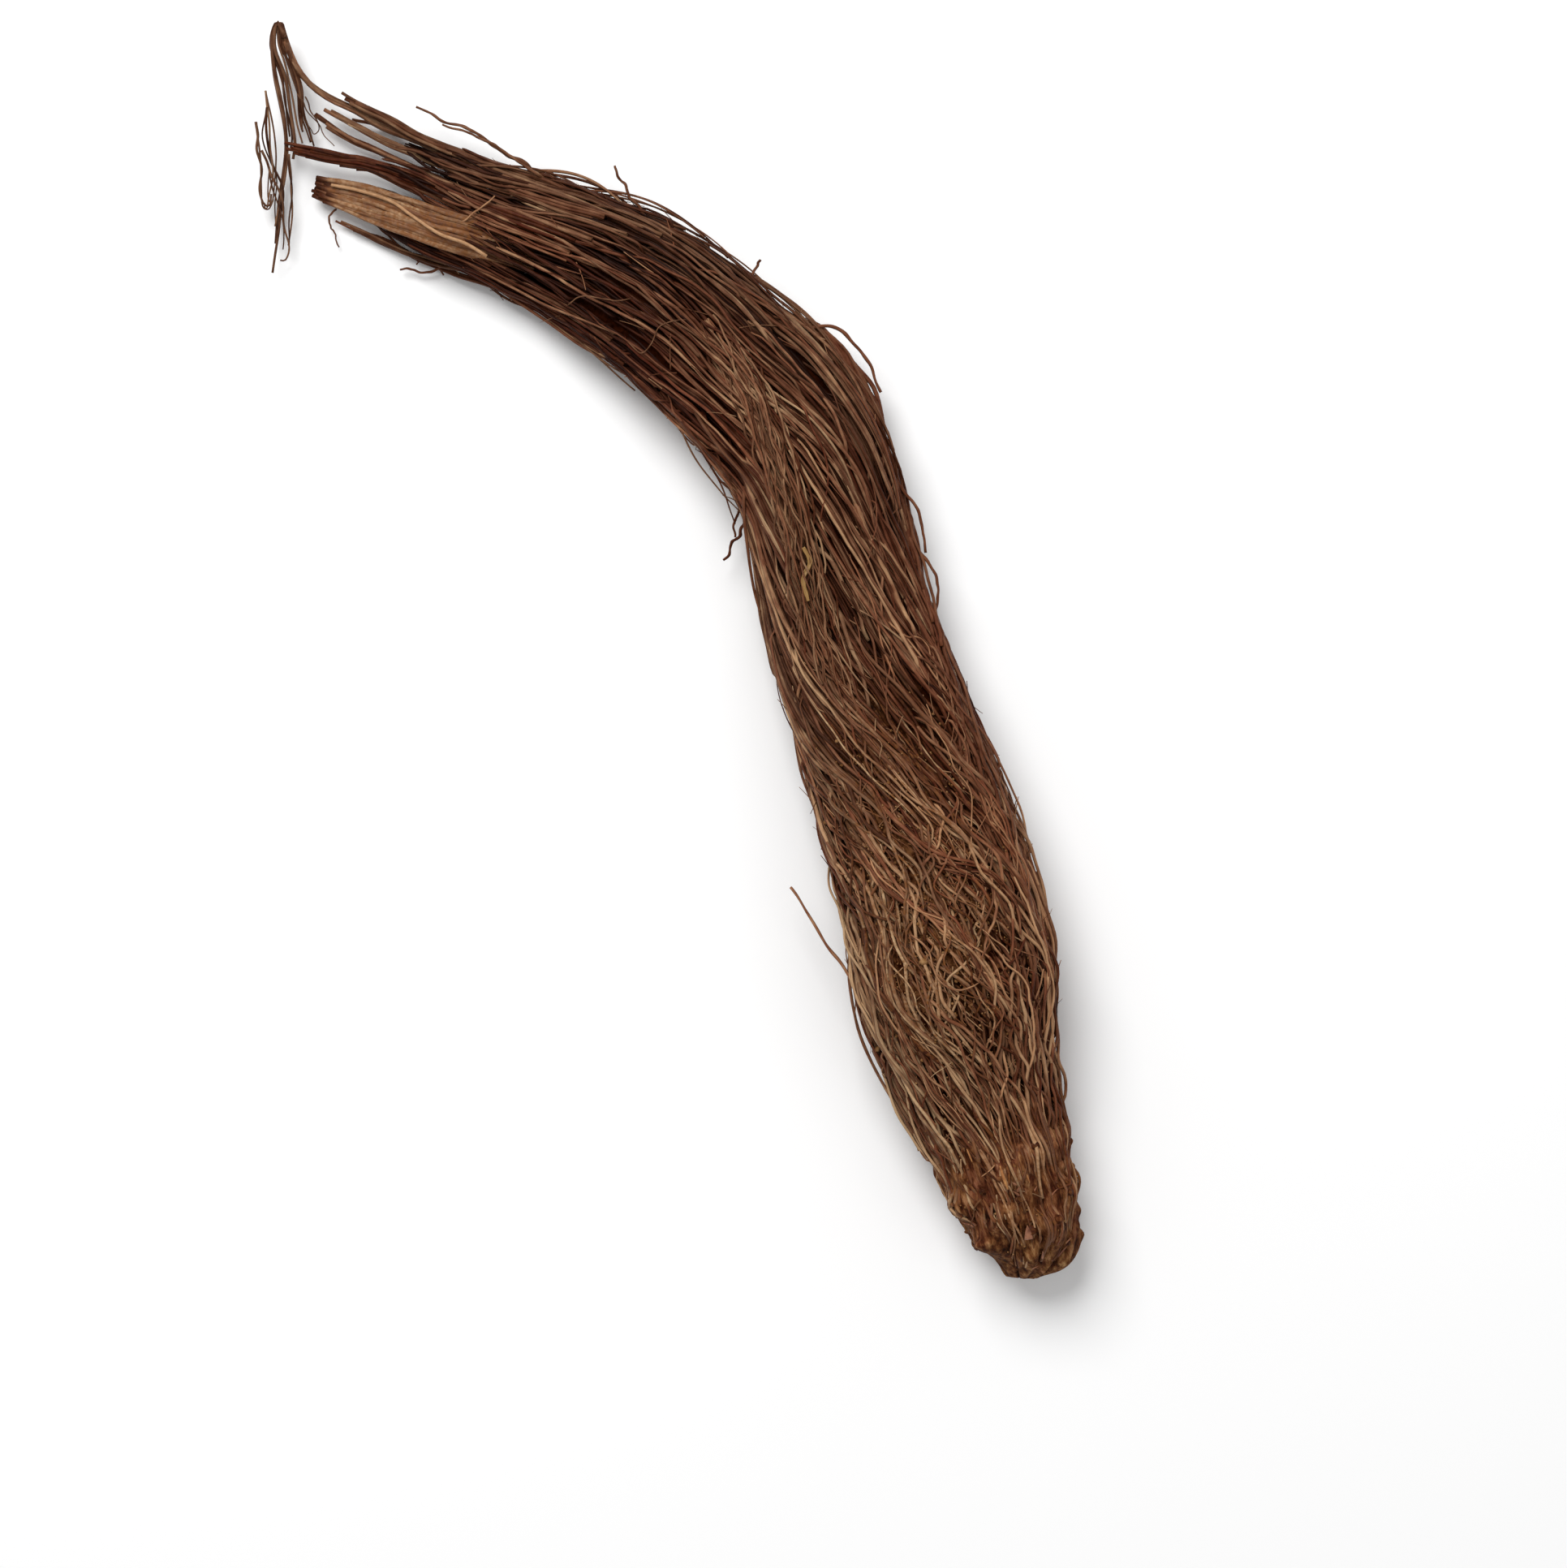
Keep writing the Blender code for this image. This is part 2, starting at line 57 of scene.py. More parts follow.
# The spine seen from above: x, y, half width and half height in millimetres. The first point
# lies past the end of the sheaf, among the frayed ends.
SPINE_MM = (
    (-72.0, 95.0, 7.0, 1.6),
    (-55.0, 90.0, 6.5, 2.2),
    (-39.0, 82.5, 9.4, 4.6),
    (-19.0, 74.5, 12.0, 7.0),
    (-1.0, 64.0, 13.8, 8.8),
    (14.5, 50.0, 14.4, 9.8),
    (25.5, 35.0, 14.0, 10.2),
    (31.0, 17.0, 14.0, 10.2),
    (36.0, -2.5, 15.2, 10.8),
    (43.0, -22.0, 16.6, 12.0),
    (50.0, -43.5, 17.6, 13.4),
    (53.5, -62.0, 18.0, 13.8),
    (57.4, -79.0, 15.2, 12.4),
    (62.6, -95.0, 12.2, 10.8),
    (66.6, -109.0, 9.7, 8.8),
    (66.2, -116.5, 7.2, 6.4),
)
SPAN_SAMPLES = 24
TWIST = math.radians(160)
TWIST_FROM, TWIST_TO = 0.27, 0.92
UNDERSIDE_HEIGHT = 0.8 * MM
SETTLES = (0.14, 0.50, 0.86)
SETTLE_DEPTH = 2.2 * MM
SETTLE_REACH = 0.05
LOCKS = 9
HEART_DEPTH = 2.3 * MM
HEART_LOCK_HEIGHT = 1.2 * MM
HEART_SIZE = (170, 96)


def curve_through(points):
    """A Catmull-Rom curve: between two points it is the cubic that leaves each of them along
    the line joining that point's neighbours. Rows of the result are points on it."""
    p = np.asarray(points, float)
    p = np.vstack([2 * p[0] - p[1], p, 2 * p[-1] - p[-2]])
    t = np.linspace(0, 1, SPAN_SAMPLES, endpoint=False)[None, :, None]
    a, b, c, d = (p[i:len(p) - 3 + i, None] for i in range(4))
    spans = 0.5 * (2 * b + (c - a) * t + (2 * a - 5 * b + 4 * c - d) * t**2
                   + (3 * b - a - 3 * c + d) * t**3)
    return np.vstack([spans.reshape(-1, p.shape[1]), p[-2:-1]])


def smooth_step(x):
    """0 up to 0, 1 from 1 on, and the cubic 3x^2 - 2x^3 between."""
    x = np.clip(x, 0, 1)
    return x * x * (3 - 2 * x)


spine = curve_through(SPINE_MM) * MM
spine_steps = np.linalg.norm(np.diff(spine[:, :2], axis=0), axis=1)
spine_run = np.append(0, np.cumsum(spine_steps))
SHEAF_LENGTH = spine_run[-1] - spine_run[SPAN_SAMPLES]
spine_place = (spine_run - spine_run[SPAN_SAMPLES]) / SHEAF_LENGTH
spine_heading = np.gradient(spine[:, :2], spine_place, axis=0)
spine_heading /= np.linalg.norm(spine_heading, axis=1)[:, None]


def section_at(u):
    """The centre, the direction to the outer edge, the half width and the half height at place
    u, which runs from 0 at the sheaf's tail to 1 at the rhizome's tip."""
    x, y, wide, high = (np.interp(u, spine_place, column) for column in spine.T)
    hx, hy = (np.interp(u, spine_place, column) for column in spine_heading.T)
    centre = np.stack([x, y, high + UNDERSIDE_HEIGHT], -1)
    return centre, np.stack([-hy, hx, 0 * hx], -1), wide, high


def let_down(u):
    """How far the section is let down at u where the sheaf settles on the table: three bells."""
    bells = [np.exp(-(((u - place) / SETTLE_REACH) ** 2)) for place in SETTLES]
    return SETTLE_DEPTH * np.sum(bells, axis=0)


def on_sheaf(u, angle, lift=0.0, share=1.0, clear=0.0):
    """A point of the sheaf's section, an ellipse: the spine's centre, plus the outer direction
    times the half width and the cosine of the angle, plus the half height times its sine, each
    at a share and with a lift in metres. It stays at least clear above the table. Gives the
    point and the direction outward from the spine."""
    centre, outer, wide, high = section_at(u)
    out = outer * np.cos(angle)[..., None] + UP * np.sin(angle)[..., None]
    across = (wide * share + lift) * np.cos(angle)
    raised = (high * share + lift) * np.sin(angle)
    point = centre + outer * across[..., None] + UP * raised[..., None]
    point[..., 2] = np.maximum(point[..., 2] - let_down(u), clear)
    return point, out


def winding(u):
    """How far the rootlets have wound round the spine at u: none in the tail, then nearly half a
    turn between the bend and the rhizome, by a smooth step."""
    return -TWIST * smooth_step((u - TWIST_FROM) / (TWIST_TO - TWIST_FROM))


def lock_height(u, turn):
    """Broad locks of rootlets with narrow furrows between them: the root of the absolute value
    of a sine round the sheaf, whose phase drifts along it. Between -0.8 and 0.2."""
    phase = LOCKS / 2 * turn + 0.9 * np.sin(2 * math.pi * 1.3 * u + 0.6)
    phase = phase + 0.5 * np.sin(2 * math.pi * 3.4 * u + 2 * turn + 1.9)
    return np.sqrt(np.abs(np.sin(phase))) - 0.8


def tangle(u):
    """How tangled the rootlets lie: little in the tail and the bend, most in the belly."""
    return 0.45 + 0.95 * smooth_step((u - 0.54) / 0.15) - 0.4 * smooth_step((u - 0.84) / 0.1)


def drift(u, turn):
    """How far neighbouring rootlets lean round the sheaf together, in radians: three sines along
    it and round it, stronger where they lie tangled."""
    lean = 0.10 * np.sin(2 * math.pi * 2.3 * u + 2 * turn + 0.4)
    lean = lean + 0.05 * np.sin(2 * math.pi * 5.1 * u - 3 * turn + 2.2)
    lean = lean + 0.022 * np.sin(2 * math.pi * 11.0 * u + 7 * turn + 4.0)
    return tangle(u) * lean


def soil_at(u, angle):
    """Where soil has washed into the sheaf, from 0 to 1: a round patch on top of the belly, a
    fainter one above it, and all of the rhizome."""
    from_top = np.abs((angle - 1.75 + math.pi) % (2 * math.pi) - math.pi)
    belly = 1.25 * np.exp(-(((u - 0.735) / 0.10) ** 2) - (from_top / 0.85) ** 2)
    neck = 0.4 * np.exp(-(((u - 0.60) / 0.08) ** 2) - (from_top / 0.9) ** 2)
    patchy = 0.25 * np.sin(190 * u + 5 * angle) * np.sin(7 * angle - 90 * u + 1.0)
    patchy = (patchy + 0.2 * np.sin(17 * angle + 320 * u)) * (belly + neck)
    return np.clip(belly + neck + patchy + 0.8 * smooth_step((u - 0.84) / 0.09), 0, 1)


def linear(hex_colour):
    """An sRGB hex colour as linear red, green, blue and alpha."""
    parts = [int(hex_colour[i:i + 2], 16) / 255 for i in (1, 3, 5)]
    return [c / 12.92 if c <= 0.04045 else ((c + 0.055) / 1.055) ** 2.4 for c in parts] + [1.0]


def add(tree, kind, values=None, links=None, **settings):
    """Adds a node: settings are its own properties, values its sockets' constants and links the
    sockets that feed it."""
    made = tree.nodes.new(kind)
    for name, value in settings.items():
        setattr(made, name, value)
    for socket, value in (values or {}).items():
        made.inputs[socket].default_value = value
    for socket, source in (links or {}).items():
        tree.links.new(source, made.inputs[socket])
    return made


def noise(tree, where, scale, detail, roughness=0.5):
    """The value of a noise texture at the place that a socket gives."""
    values = {"Scale": scale, "Detail": detail, "Roughness": roughness}
    return add(tree, "ShaderNodeTexNoise", values, {"Vector": where}).outputs[0]


def ramp(tree, value, *stops):
    """The colour that a value picks from stops, each a position and an sRGB hex colour."""
    made = add(tree, "ShaderNodeValToRGB", links={0: value})
    elements = made.color_ramp.elements
    elements[0].position, elements[-1].position = stops[0][0], stops[-1][0]
    elements[0].color, elements[-1].color = linear(stops[0][1]), linear(stops[-1][1])
    for position, colour in stops[1:-1]:
        elements.new(position).color = linear(colour)
    return made.outputs[0]


def times(tree, first, second):
    """The product of two sockets, or of a socket and a number."""
    if isinstance(second, float):
        made = add(tree, "ShaderNodeMath", {1: second}, {0: first}, operation="MULTIPLY")
    else:
        made = add(tree, "ShaderNodeMath", links={0: first, 1: second}, operation="MULTIPLY")
    return made.outputs[0]


def plus(tree, first, second):
    """The sum of two sockets."""
    return add(tree, "ShaderNodeMath", links={0: first, 1: second}, operation="ADD").outputs[0]


def blend(tree, share, first, second):
    """The first colour where the share is 0, the second where it is 1."""
    links = {0: share, 6: first, 7: second}
    return add(tree, "ShaderNodeMix", links=links, data_type="RGBA").outputs[2]


def stored(tree, name):
    """The value that the mesh stores under a name for each point."""
    return add(tree, "ShaderNodeAttribute", attribute_name=name).outputs["Fac"]


def new_material(name, roughness, specular):
    """A material with one Principled shader: the material, its node tree and the shader."""
    material = bpy.data.materials.new(name)
    material.use_nodes = True
    shader = material.node_tree.nodes["Principled BSDF"]
    shader.inputs["Roughness"].default_value = roughness
    shader.inputs["Specular IOR Level"].default_value = specular
    return material, material.node_tree, shader


def mesh_piece(name, points, faces, material, corner_uv=None, **fields):
    """A mesh object from an array of points and arrays of faces, each array with its own number
    of corners, with a UV for each corner and named values for each point."""
    mesh = bpy.data.meshes.new(name)
    corners = np.concatenate([part.ravel() for part in faces])
    sizes = np.concatenate([np.full(len(part), part.shape[1]) for part in faces])
    mesh.vertices.add(len(points))
    mesh.vertices.foreach_set("co", np.ascontiguousarray(points).ravel())
    mesh.loops.add(len(corners))
    mesh.loops.foreach_set("vertex_index", corners.astype(np.int32))
    mesh.polygons.add(len(sizes))
    mesh.polygons.foreach_set("loop_start", np.append(0, np.cumsum(sizes[:-1])).astype(np.int32))
    mesh.polygons.foreach_set("use_smooth", np.ones(len(sizes), bool))
    if corner_uv is not None:
        mesh.uv_layers.new(name="UVMap").data.foreach_set("uv", corner_uv.ravel())
    for field, values in fields.items():
        layer = mesh.attributes.new(field, "FLOAT", "POINT")
        layer.data.foreach_set("value", np.broadcast_to(values, len(points)).ravel())
    mesh.materials.append(material)
    mesh.update()
    mesh.validate()
    piece = bpy.data.objects.new(name, mesh)
    bpy.context.scene.collection.objects.link(piece)
    return piece


def part_of_root(piece):
    """Ties a piece to the root's one node."""
    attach(piece, "root")
    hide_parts("valerian_root")


def grid_faces(rows, columns):
    """Faces of a tube of rows times columns points, and a fan to a point at each end. The two
    end points follow the grid's own."""
    i, j = np.meshgrid(np.arange(rows - 1), np.arange(columns), indexing="ij")
    k = (j + 1) % columns
    sides = np.stack([i * columns + j, i * columns + k, (i + 1) * columns + k,
                      (i + 1) * columns + j], -1).reshape(-1, 4)
    j = np.arange(columns)
    k = (j + 1) % columns
    last_row = (rows - 1) * columns
    front = np.stack([k, j, np.full(columns, rows * columns)], -1)
    back = np.stack([last_row + j, last_row + k, np.full(columns, rows * columns + 1)], -1)
    return [sides, np.vstack([front, back])]


def with_ends(points):
    """A grid's points as one list, and after them the middles of its first and its last row."""
    return np.vstack([points.reshape(-1, 3), points[0].mean(0), points[-1].mean(0)])


# Matted root felt: dried fine roots and washed-in soil, matt, and coloured very dark as painted
# shade, which gives the gaps between the rootlets their depth.
felt, tree, shader = new_material("root_felt_painted_gap_shade", 0.95, 0.0)
place = add(tree, "ShaderNodeTexCoord").outputs["Object"]
fibres = noise(tree, place, 1100.0, 4.0)
# The near-black colour here is painted shade for the gaps between the rootlets.
dark = ramp(tree, fibres, (0.3, "#1a0702"), (0.7, "#331408"))
washed = ramp(tree, fibres, (0.3, "#3a1d0c"), (0.7, "#7a5030"))
pockets = ramp(tree, noise(tree, place, 420.0, 3.0), (0.42, "#000000"), (0.60, "#ffffff"))
mixed = blend(tree, times(tree, pockets, stored(tree, "soil")), dark, washed)
bump = add(tree, "ShaderNodeBump", {"Strength": 0.8, "Distance": 0.4 * MM}, {"Height": fibres})
tree.links.new(mixed, shader.inputs["Base Color"])
tree.links.new(bump.outputs[0], shader.inputs["Normal"])

heart_u = np.linspace(0.075, 0.93, HEART_SIZE[0])
heart_turn = np.linspace(0, 2 * math.pi, HEART_SIZE[1], endpoint=False)
u, turn = np.meshgrid(heart_u, heart_turn, indexing="ij")
angle = turn + winding(u) + drift(u, turn)
closing = np.sqrt(np.clip((u - heart_u[0] + 0.002) / 0.12, 0, 1))
depth = HEART_DEPTH - 1.7 * MM * soil_at(u, angle)
lift = (HEART_LOCK_HEIGHT * lock_height(u, turn) - depth) * closing
grit = 0.25 * MM * np.sin(173 * u + 31 * turn) * np.sin(411 * u - 23 * turn + 1.0)
points = on_sheaf(u, angle, lift + grit, closing, 0.3 * MM)[0]
part_of_root(mesh_piece("heart_of_rootlets", with_ends(points), grid_faces(*HEART_SIZE), felt,
                        soil=np.append(soil_at(u, angle), [0, 1])))


# The laid rootlets
# Each is one root a third of a millimetre to a millimetre thick, whose bark shrank into furrows
# along it as it dried. They leave the rhizome together, run side by side along the sheaf, dip
# under one another and end at different lengths. They lie in layers, from buried to outermost.
LAYERS = (
    # name, count, rings, sides, least and greatest length as shares of the sheaf, depth and its
    # spread in millimetres, least and greatest radius in millimetres
    ("buried", 300, 24, 4, 0.20, 0.60, -1.9, 0.35, 0.28, 0.50),
    ("middle", 360, 42, 5, 0.20, 0.58, -0.9, 0.38, 0.20, 0.42),
    ("outer", 420, 70, 5, 0.16, 0.60, 0.0, 0.42, 0.16, 0.38),
)
ROOTLET_LOCK_HEIGHT = 1.4 * MM

# The knobbly rhizome that they leave, over which their near ends lie half sunk.
RHIZOME_FROM, RHIZOME_CLOSES, RHIZOME_ENDS = 0.855, 0.955, 1.006
KNOB_RADIUS = 2.9 * MM
KNOBS = (
    # place, direction round the spine in degrees, height in millimetres
    (0.880, 178, 1.4), (0.892, 112, 1.7), (0.905, 14, 1.4), (0.908, 60, 1.6), (0.920, 84, 2.0),
    (0.932, 152, 2.4), (0.940, -8, 1.9), (0.945, 32, 1.8), (0.950, 112, 2.3), (0.964, 62, 2.6),
    (0.972, 140, 2.0), (0.982, 4, 1.5), (0.988, 92, 2.2), (0.978, 186, 1.0), (0.955, 235, 1.6),
    (0.965, 300, 1.6),
)


def rhizome_share(u):
    """The share of the full section: it swells out from under the rootlets and closes over the
    tip in a blunt round, (1 - x^2.4)^0.62."""
    past = np.clip((u - RHIZOME_CLOSES) / (RHIZOME_ENDS - RHIZOME_CLOSES), 0, 1)
    swell = 0.72 + 0.28 * smooth_step((u - RHIZOME_FROM) / 0.06)
    return swell * (1 - past**2.4) ** 0.62


def knob_lift(u, angle, knobs, stretch=1.0):
    """The sum of bells, stretched along the spine: each knob has a place, a direction, a radius
    and a height, and distances are measured in metres along the spine and round it."""
    wide, high = section_at(u)[2:]
    girth = (wide + high) / 2
    total = np.zeros_like(u)
    for knob_place, direction, radius, height in knobs:
        along = (u - knob_place) * SHEAF_LENGTH / stretch
        around = ((angle - direction + math.pi) % (2 * math.pi) - math.pi) * girth
        total = total + height * np.exp(-((along**2 + around**2) / radius**2) ** 1.3)
    return total


rhizome_knobs = [(place, math.radians(direction), KNOB_RADIUS, height * MM)
                 for place, direction, height in KNOBS]


def swept(path, radius, out, sides):
    """Rings of points carried along many paths at once: at each point of a path a circle is
    drawn in the plane of the outward direction and its cross product with the heading. The
    ring's first point lies inward."""
    heading = np.gradient(path, axis=1)
    heading /= np.linalg.norm(heading, axis=-1, keepdims=True) + 1e-12
    side = np.cross(heading, out)
    side /= np.linalg.norm(side, axis=-1, keepdims=True) + 1e-12
    over = np.cross(heading, side)
    turned = math.pi / 2 + 2 * math.pi * np.arange(sides) / sides
    ring = side[:, :, None] * np.cos(turned)[:, None] + over[:, :, None] * np.sin(turned)[:, None]
    return path[:, :, None] + ring * radius[:, :, None, None]


def rootlet_piece(name, path, radius, out, material, tone, kind, soil, sides=5):
    """Tubes along paths as one mesh, closed at both ends. The UV runs along each rootlet in
    centimetres and once round it. Tone, kind and soil colour the bark, point by point."""
    count, rings = path.shape[:2]
    points = swept(path, radius, out, sides)
    n, i, j = np.meshgrid(np.arange(count), np.arange(rings - 1), np.arange(sides), indexing="ij")
    a = n * rings * sides + i * sides
    b = a + sides
    k = (j + 1) % sides
    quads = np.stack([a + j, a + k, b + k, b + j], -1).reshape(-1, 4)
    starts = (np.arange(count) * rings * sides)[:, None]
    ring = np.arange(sides)
    caps = np.vstack([starts + ring[::-1], starts + (rings - 1) * sides + ring])
    run = np.linalg.norm(np.diff(path, axis=1), axis=-1)
    run = np.concatenate([np.zeros((count, 1)), np.cumsum(run, 1)], 1) * 100
    run = run + np.arange(count)[:, None] * 3.7
    near = np.broadcast_to(run[:, :-1, None], j.shape)
    far = np.broadcast_to(run[:, 1:, None], j.shape)
    uv = np.stack([np.stack([near, near, far, far], -1),
                   np.stack([j, j + 1, j + 1, j], -1) / sides], -1).reshape(-1, 2)
    cap_run = np.concatenate([np.repeat(run[:, 0], sides), np.repeat(run[:, -1], sides)])
    uv = np.vstack([uv, np.stack([cap_run, 0 * cap_run], -1)])
    tone, kind, soil = (np.repeat(np.broadcast_to(values, (count, rings)).ravel(), sides)
                        for values in (tone, kind, soil))
    part_of_root(mesh_piece(name, points.reshape(-1, 3), [quads, caps], material, uv,
                            tone=tone, kind=kind, soil=soil))


def waves(rng, along, lengths, sizes):
    """One wave for each row of along: sines of the given lengths and sizes, each with its own
    random phase and its length drawn at random within a third or so."""
    rows = (len(along), 1)
    total = np.zeros_like(along)
    for length, size in zip(lengths, sizes):
        own = length * rng.uniform(0.7, 1.4, rows)
        height = size * rng.uniform(0.4, 1.6, rows)
        total = total + height * np.sin(2 * math.pi * (along / own + rng.random(rows)))
    return total


def region_tone_and_painted_light(u, angle):
    """How much paler than elsewhere the bark is: darker above the bend, most of all along the
    inner edge, and below it paler from the belly on and a little paler along the inner edge. The
    changes round the sheaf are painted light and shade, as a light from the upper left falls:
    above the bend the top and outer edge are painted paler and the inner edge darker, and below
    it the inner edge paler and the outer edge darker."""
    above = 1 - smooth_step((u - 0.20) / 0.12)
    below = 0.11 * smooth_step((u - 0.64) / 0.08) - 0.03 * np.cos(angle) - 0.03
    return above * (0.12 * np.sin(angle + 0.6) - 0.27) + (1 - above) * below


def bark_kind(rng, u, angle):
    """How grey-olive rather than red-brown the bark is, from 0 to 1: olive along the outer edge
    above the bend and along the inner edge below it, and different for each rootlet."""
    lean = 0.30 - 0.58 * smooth_step((u - 0.32) / 0.22)
    own = rng.normal(0, 0.2, (len(u), 1))
    return np.clip(0.62 + lean * np.cos(angle) + own, 0, 1)


# Dried root bark: brown, furrowed lengthwise as it shrank, half matt, from reddish to grey olive
# between one rootlet and the next, paler on worn crests and ochre where soil clings.
bark, tree, shader = new_material("dried_root_bark", 0.52, 0.08)
place = add(tree, "ShaderNodeTexCoord").outputs
stretched = add(tree, "ShaderNodeMapping", {"Scale": (4.0, 6.0, 1.0)}, {"Vector": place["UV"]})
furrows = noise(tree, stretched.outputs[0], 1.0, 3.0, 0.65)
blotches = times(tree, noise(tree, place["Object"], 330.0, 3.0), 0.40)
# The stored tone also carries painted shade and painted light for the laid rootlets.
shade = plus(tree, plus(tree, times(tree, furrows, 0.45), stored(tree, "tone")), blotches)
red_bark = ramp(tree, shade, (0.20, "#220802"), (0.45, "#4a1e0e"), (0.70, "#75432d"),
                (1.0, "#b3845f"))
olive_bark = ramp(tree, shade, (0.20, "#1e0a03"), (0.45, "#442616"), (0.70, "#71503a"),
                  (1.0, "#b59470"))
barks = blend(tree, stored(tree, "kind"), red_bark, olive_bark)
clods = ramp(tree, noise(tree, place["Object"], 1300.0, 2.0), (0.42, "#000000"), (0.62, "#ffffff"))
crusted = add(tree, "ShaderNodeMix", {7: linear("#784a24")},
              {0: times(tree, clods, stored(tree, "soil")), 6: barks}, data_type="RGBA")
bump = add(tree, "ShaderNodeBump", {"Strength": 0.8, "Distance": 0.12 * MM}, {"Height": furrows})
tree.links.new(crusted.outputs[2], shader.inputs["Base Color"])
tree.links.new(bump.outputs[0], shader.inputs["Normal"])


def laid_rootlets(rng, count, rings, shortest, longest, depth, spread, thin, thick):
    """Paths on the sheaf. Each rootlet keeps its own turn round it, and adds the winding, the
    drift that it shares with its neighbours and waves of its own. Its lift is the layer's
    depth, raised and sunk by the locks and by waves. It dives at both ends, or at one if the
    other lies free in the tail. On the rhizome it sinks half a millimetre or so and follows the
    knobs. The last value says which rootlets lie uppermost in the tail."""
    length = rng.uniform(shortest, longest, count)
    middle = -0.08 + 1.08 * rng.random(count) ** 0.85
    near = np.minimum(middle + length / 2, rng.uniform(0.92, 0.995, count))
    far = np.maximum(middle - length / 2, rng.uniform(0.00, 0.12, count))
    ends_free = (far > 0.13)[:, None]
    s = np.linspace(0, 1, rings)
    u = near[:, None] + (far - near)[:, None] * s
    along = u * SHEAF_LENGTH
    wide, high = section_at(u)[2:]
    girth = np.maximum((wide + high) / 2, 6 * MM)
    turn = 2 * math.pi * (np.arange(count) + rng.uniform(-0.8, 0.8, count)) / count
    sideways = waves(rng, along, (0.095, 0.036, 0.016, 0.008, 0.005),
                     (1.3 * MM, 0.65 * MM, 0.30 * MM, 0.11 * MM, 0.04 * MM))
    turn = turn[:, None] + tangle(u) * sideways / girth
    gathered = 0.7 * (1 - smooth_step(u / 0.2))
    turn = turn - gathered * np.sin(LOCKS * turn) / LOCKS
    angle = turn + winding(u) + drift(u, turn)
    lift = depth + rng.normal(0, spread, (count, 1)) + ROOTLET_LOCK_HEIGHT * lock_height(u, turn)
    lift = lift + tangle(u) * waves(rng, along, (0.050, 0.020, 0.009),
                                    (0.40 * MM, 0.24 * MM, 0.07 * MM))
    dive = smooth_step((0.05 - s) / 0.05) + smooth_step((s - 0.95) / 0.05) * ends_free
    lift = lift - 1.8 * MM * dive
    seat = rng.normal(-0.55, 0.35, (count, 1)) * MM - 0.9 * MM * smooth_step((u - 0.955) / 0.04)
    on_rhizome = smooth_step((u - 0.86) / 0.07)
    seat = seat + 0.4 * depth + knob_lift(u, angle, rhizome_knobs)
    lift = lift + on_rhizome * (seat - lift)
    slim = np.clip(high / (8 * MM), 0.25, 1)
    fray = 1 + 0.35 * (1 - smooth_step(u / 0.10))
    radius = rng.uniform(thin, thick, (count, 1)) * (1.08 - 0.2 * s)
    radius = radius * (1 + waves(rng, along, (0.012, 0.005), (0.06, 0.04)))
    radius = radius * (1 - 0.35 * smooth_step((u - 0.90) / 0.05))
    radius[:, -1] *= 0.45
    closing = np.sqrt(1 - np.clip((u - RHIZOME_CLOSES) / (RHIZOME_ENDS - RHIZOME_CLOSES), 0, 1) ** 2)
    path, out = on_sheaf(u, angle, lift * slim, fray * closing, radius)
    tone = rng.normal(0.20, 0.14, (count, 1)) + waves(rng, along, (0.05, 0.02), (0.05, 0.03))
    # Painted shade: deeper rootlets are painted darker, and raised ones a little paler, painted light.
    tone = tone + 0.16 * np.clip(lift / MM, -3, 0.6) + region_tone_and_painted_light(u, angle)
    kind = bark_kind(rng, u, angle)
    soil = soil_at(u, angle) * rng.uniform(0.1, 1.0, (count, 1))
    return path, radius, out, tone, kind, soil, np.sin(turn[:, 0]) > 0


rng = np.random.default_rng(SHEAF_SEED)
for name, count, rings, sides, shortest, longest, depth, spread, thin, thick in LAYERS:
    path, radius, out, tone, kind, soil, upper = laid_rootlets(
        rng, count, rings, shortest, longest, depth * MM, spread * MM, thin * MM, thick * MM)
    for side, chosen in (("upper", upper), ("under", ~upper)):
        rootlet_piece(f"{name}_rootlets_{side}", path[chosen], radius[chosen], out[chosen], bark,
                      tone[chosen], kind[chosen], soil[chosen], sides)


# The crossing rootlets
# Mostly over the neck and the belly, rootlets that came loose in combing lie aslant over the rest
# in two directions, kinked and curling. They are the same bark, on the whole redder.
CROSSING = 190
CROSSING_RINGS = 36

s = np.linspace(0, 1, CROSSING_RINGS)
start = np.clip(rng.normal(0.66, 0.16, (CROSSING, 1)), 0.12, 0.90)
reach = rng.uniform(0.03, 0.13, (CROSSING, 1)) * rng.choice([-1, 1], (CROSSING, 1))
u = np.clip(start + reach * s, 0.04, 0.94)
along = s * np.abs(reach) * SHEAF_LENGTH
aslant = rng.normal(0, 5.0, (CROSSING, 1)) * np.abs(reach)
angle = rng.uniform(-0.3, math.pi + 0.3, (CROSSING, 1)) + aslant * s - 2.6 * reach * s
angle = angle + tangle(u) * waves(rng, along, (0.030, 0.012, 0.006), (0.09, 0.035, 0.010))
lift = rng.uniform(-0.1, 0.9, (CROSSING, 1)) * MM + waves(rng, along, (0.020,), (0.3 * MM,))
dive = smooth_step((0.10 - s) / 0.10) + smooth_step((s - 0.88) / 0.12)
lift = lift - 1.5 * MM * dive
radius = rng.uniform(0.12, 0.32, (CROSSING, 1)) * MM * (1.1 - 0.35 * s)
path, out = on_sheaf(u, angle, lift, 1.0, radius)
rootlet_piece("crossing_rootlets", path, radius, out, bark, rng.normal(0.20, 0.13, (CROSSING, 1)),
              np.clip(rng.normal(0.35, 0.25, (CROSSING, 1)), 0, 1),
              soil_at(u, angle) * 0.5)


# The matted hair roots
# On top of the belly short hair roots, a quarter of a millimetre thick and a few millimetres long,
# are matted together with soil. They lie roughly along the rest and are paler than the gaps.
MATTED = 460
MATTED_RINGS = 12
MATTED_SIDES = 4

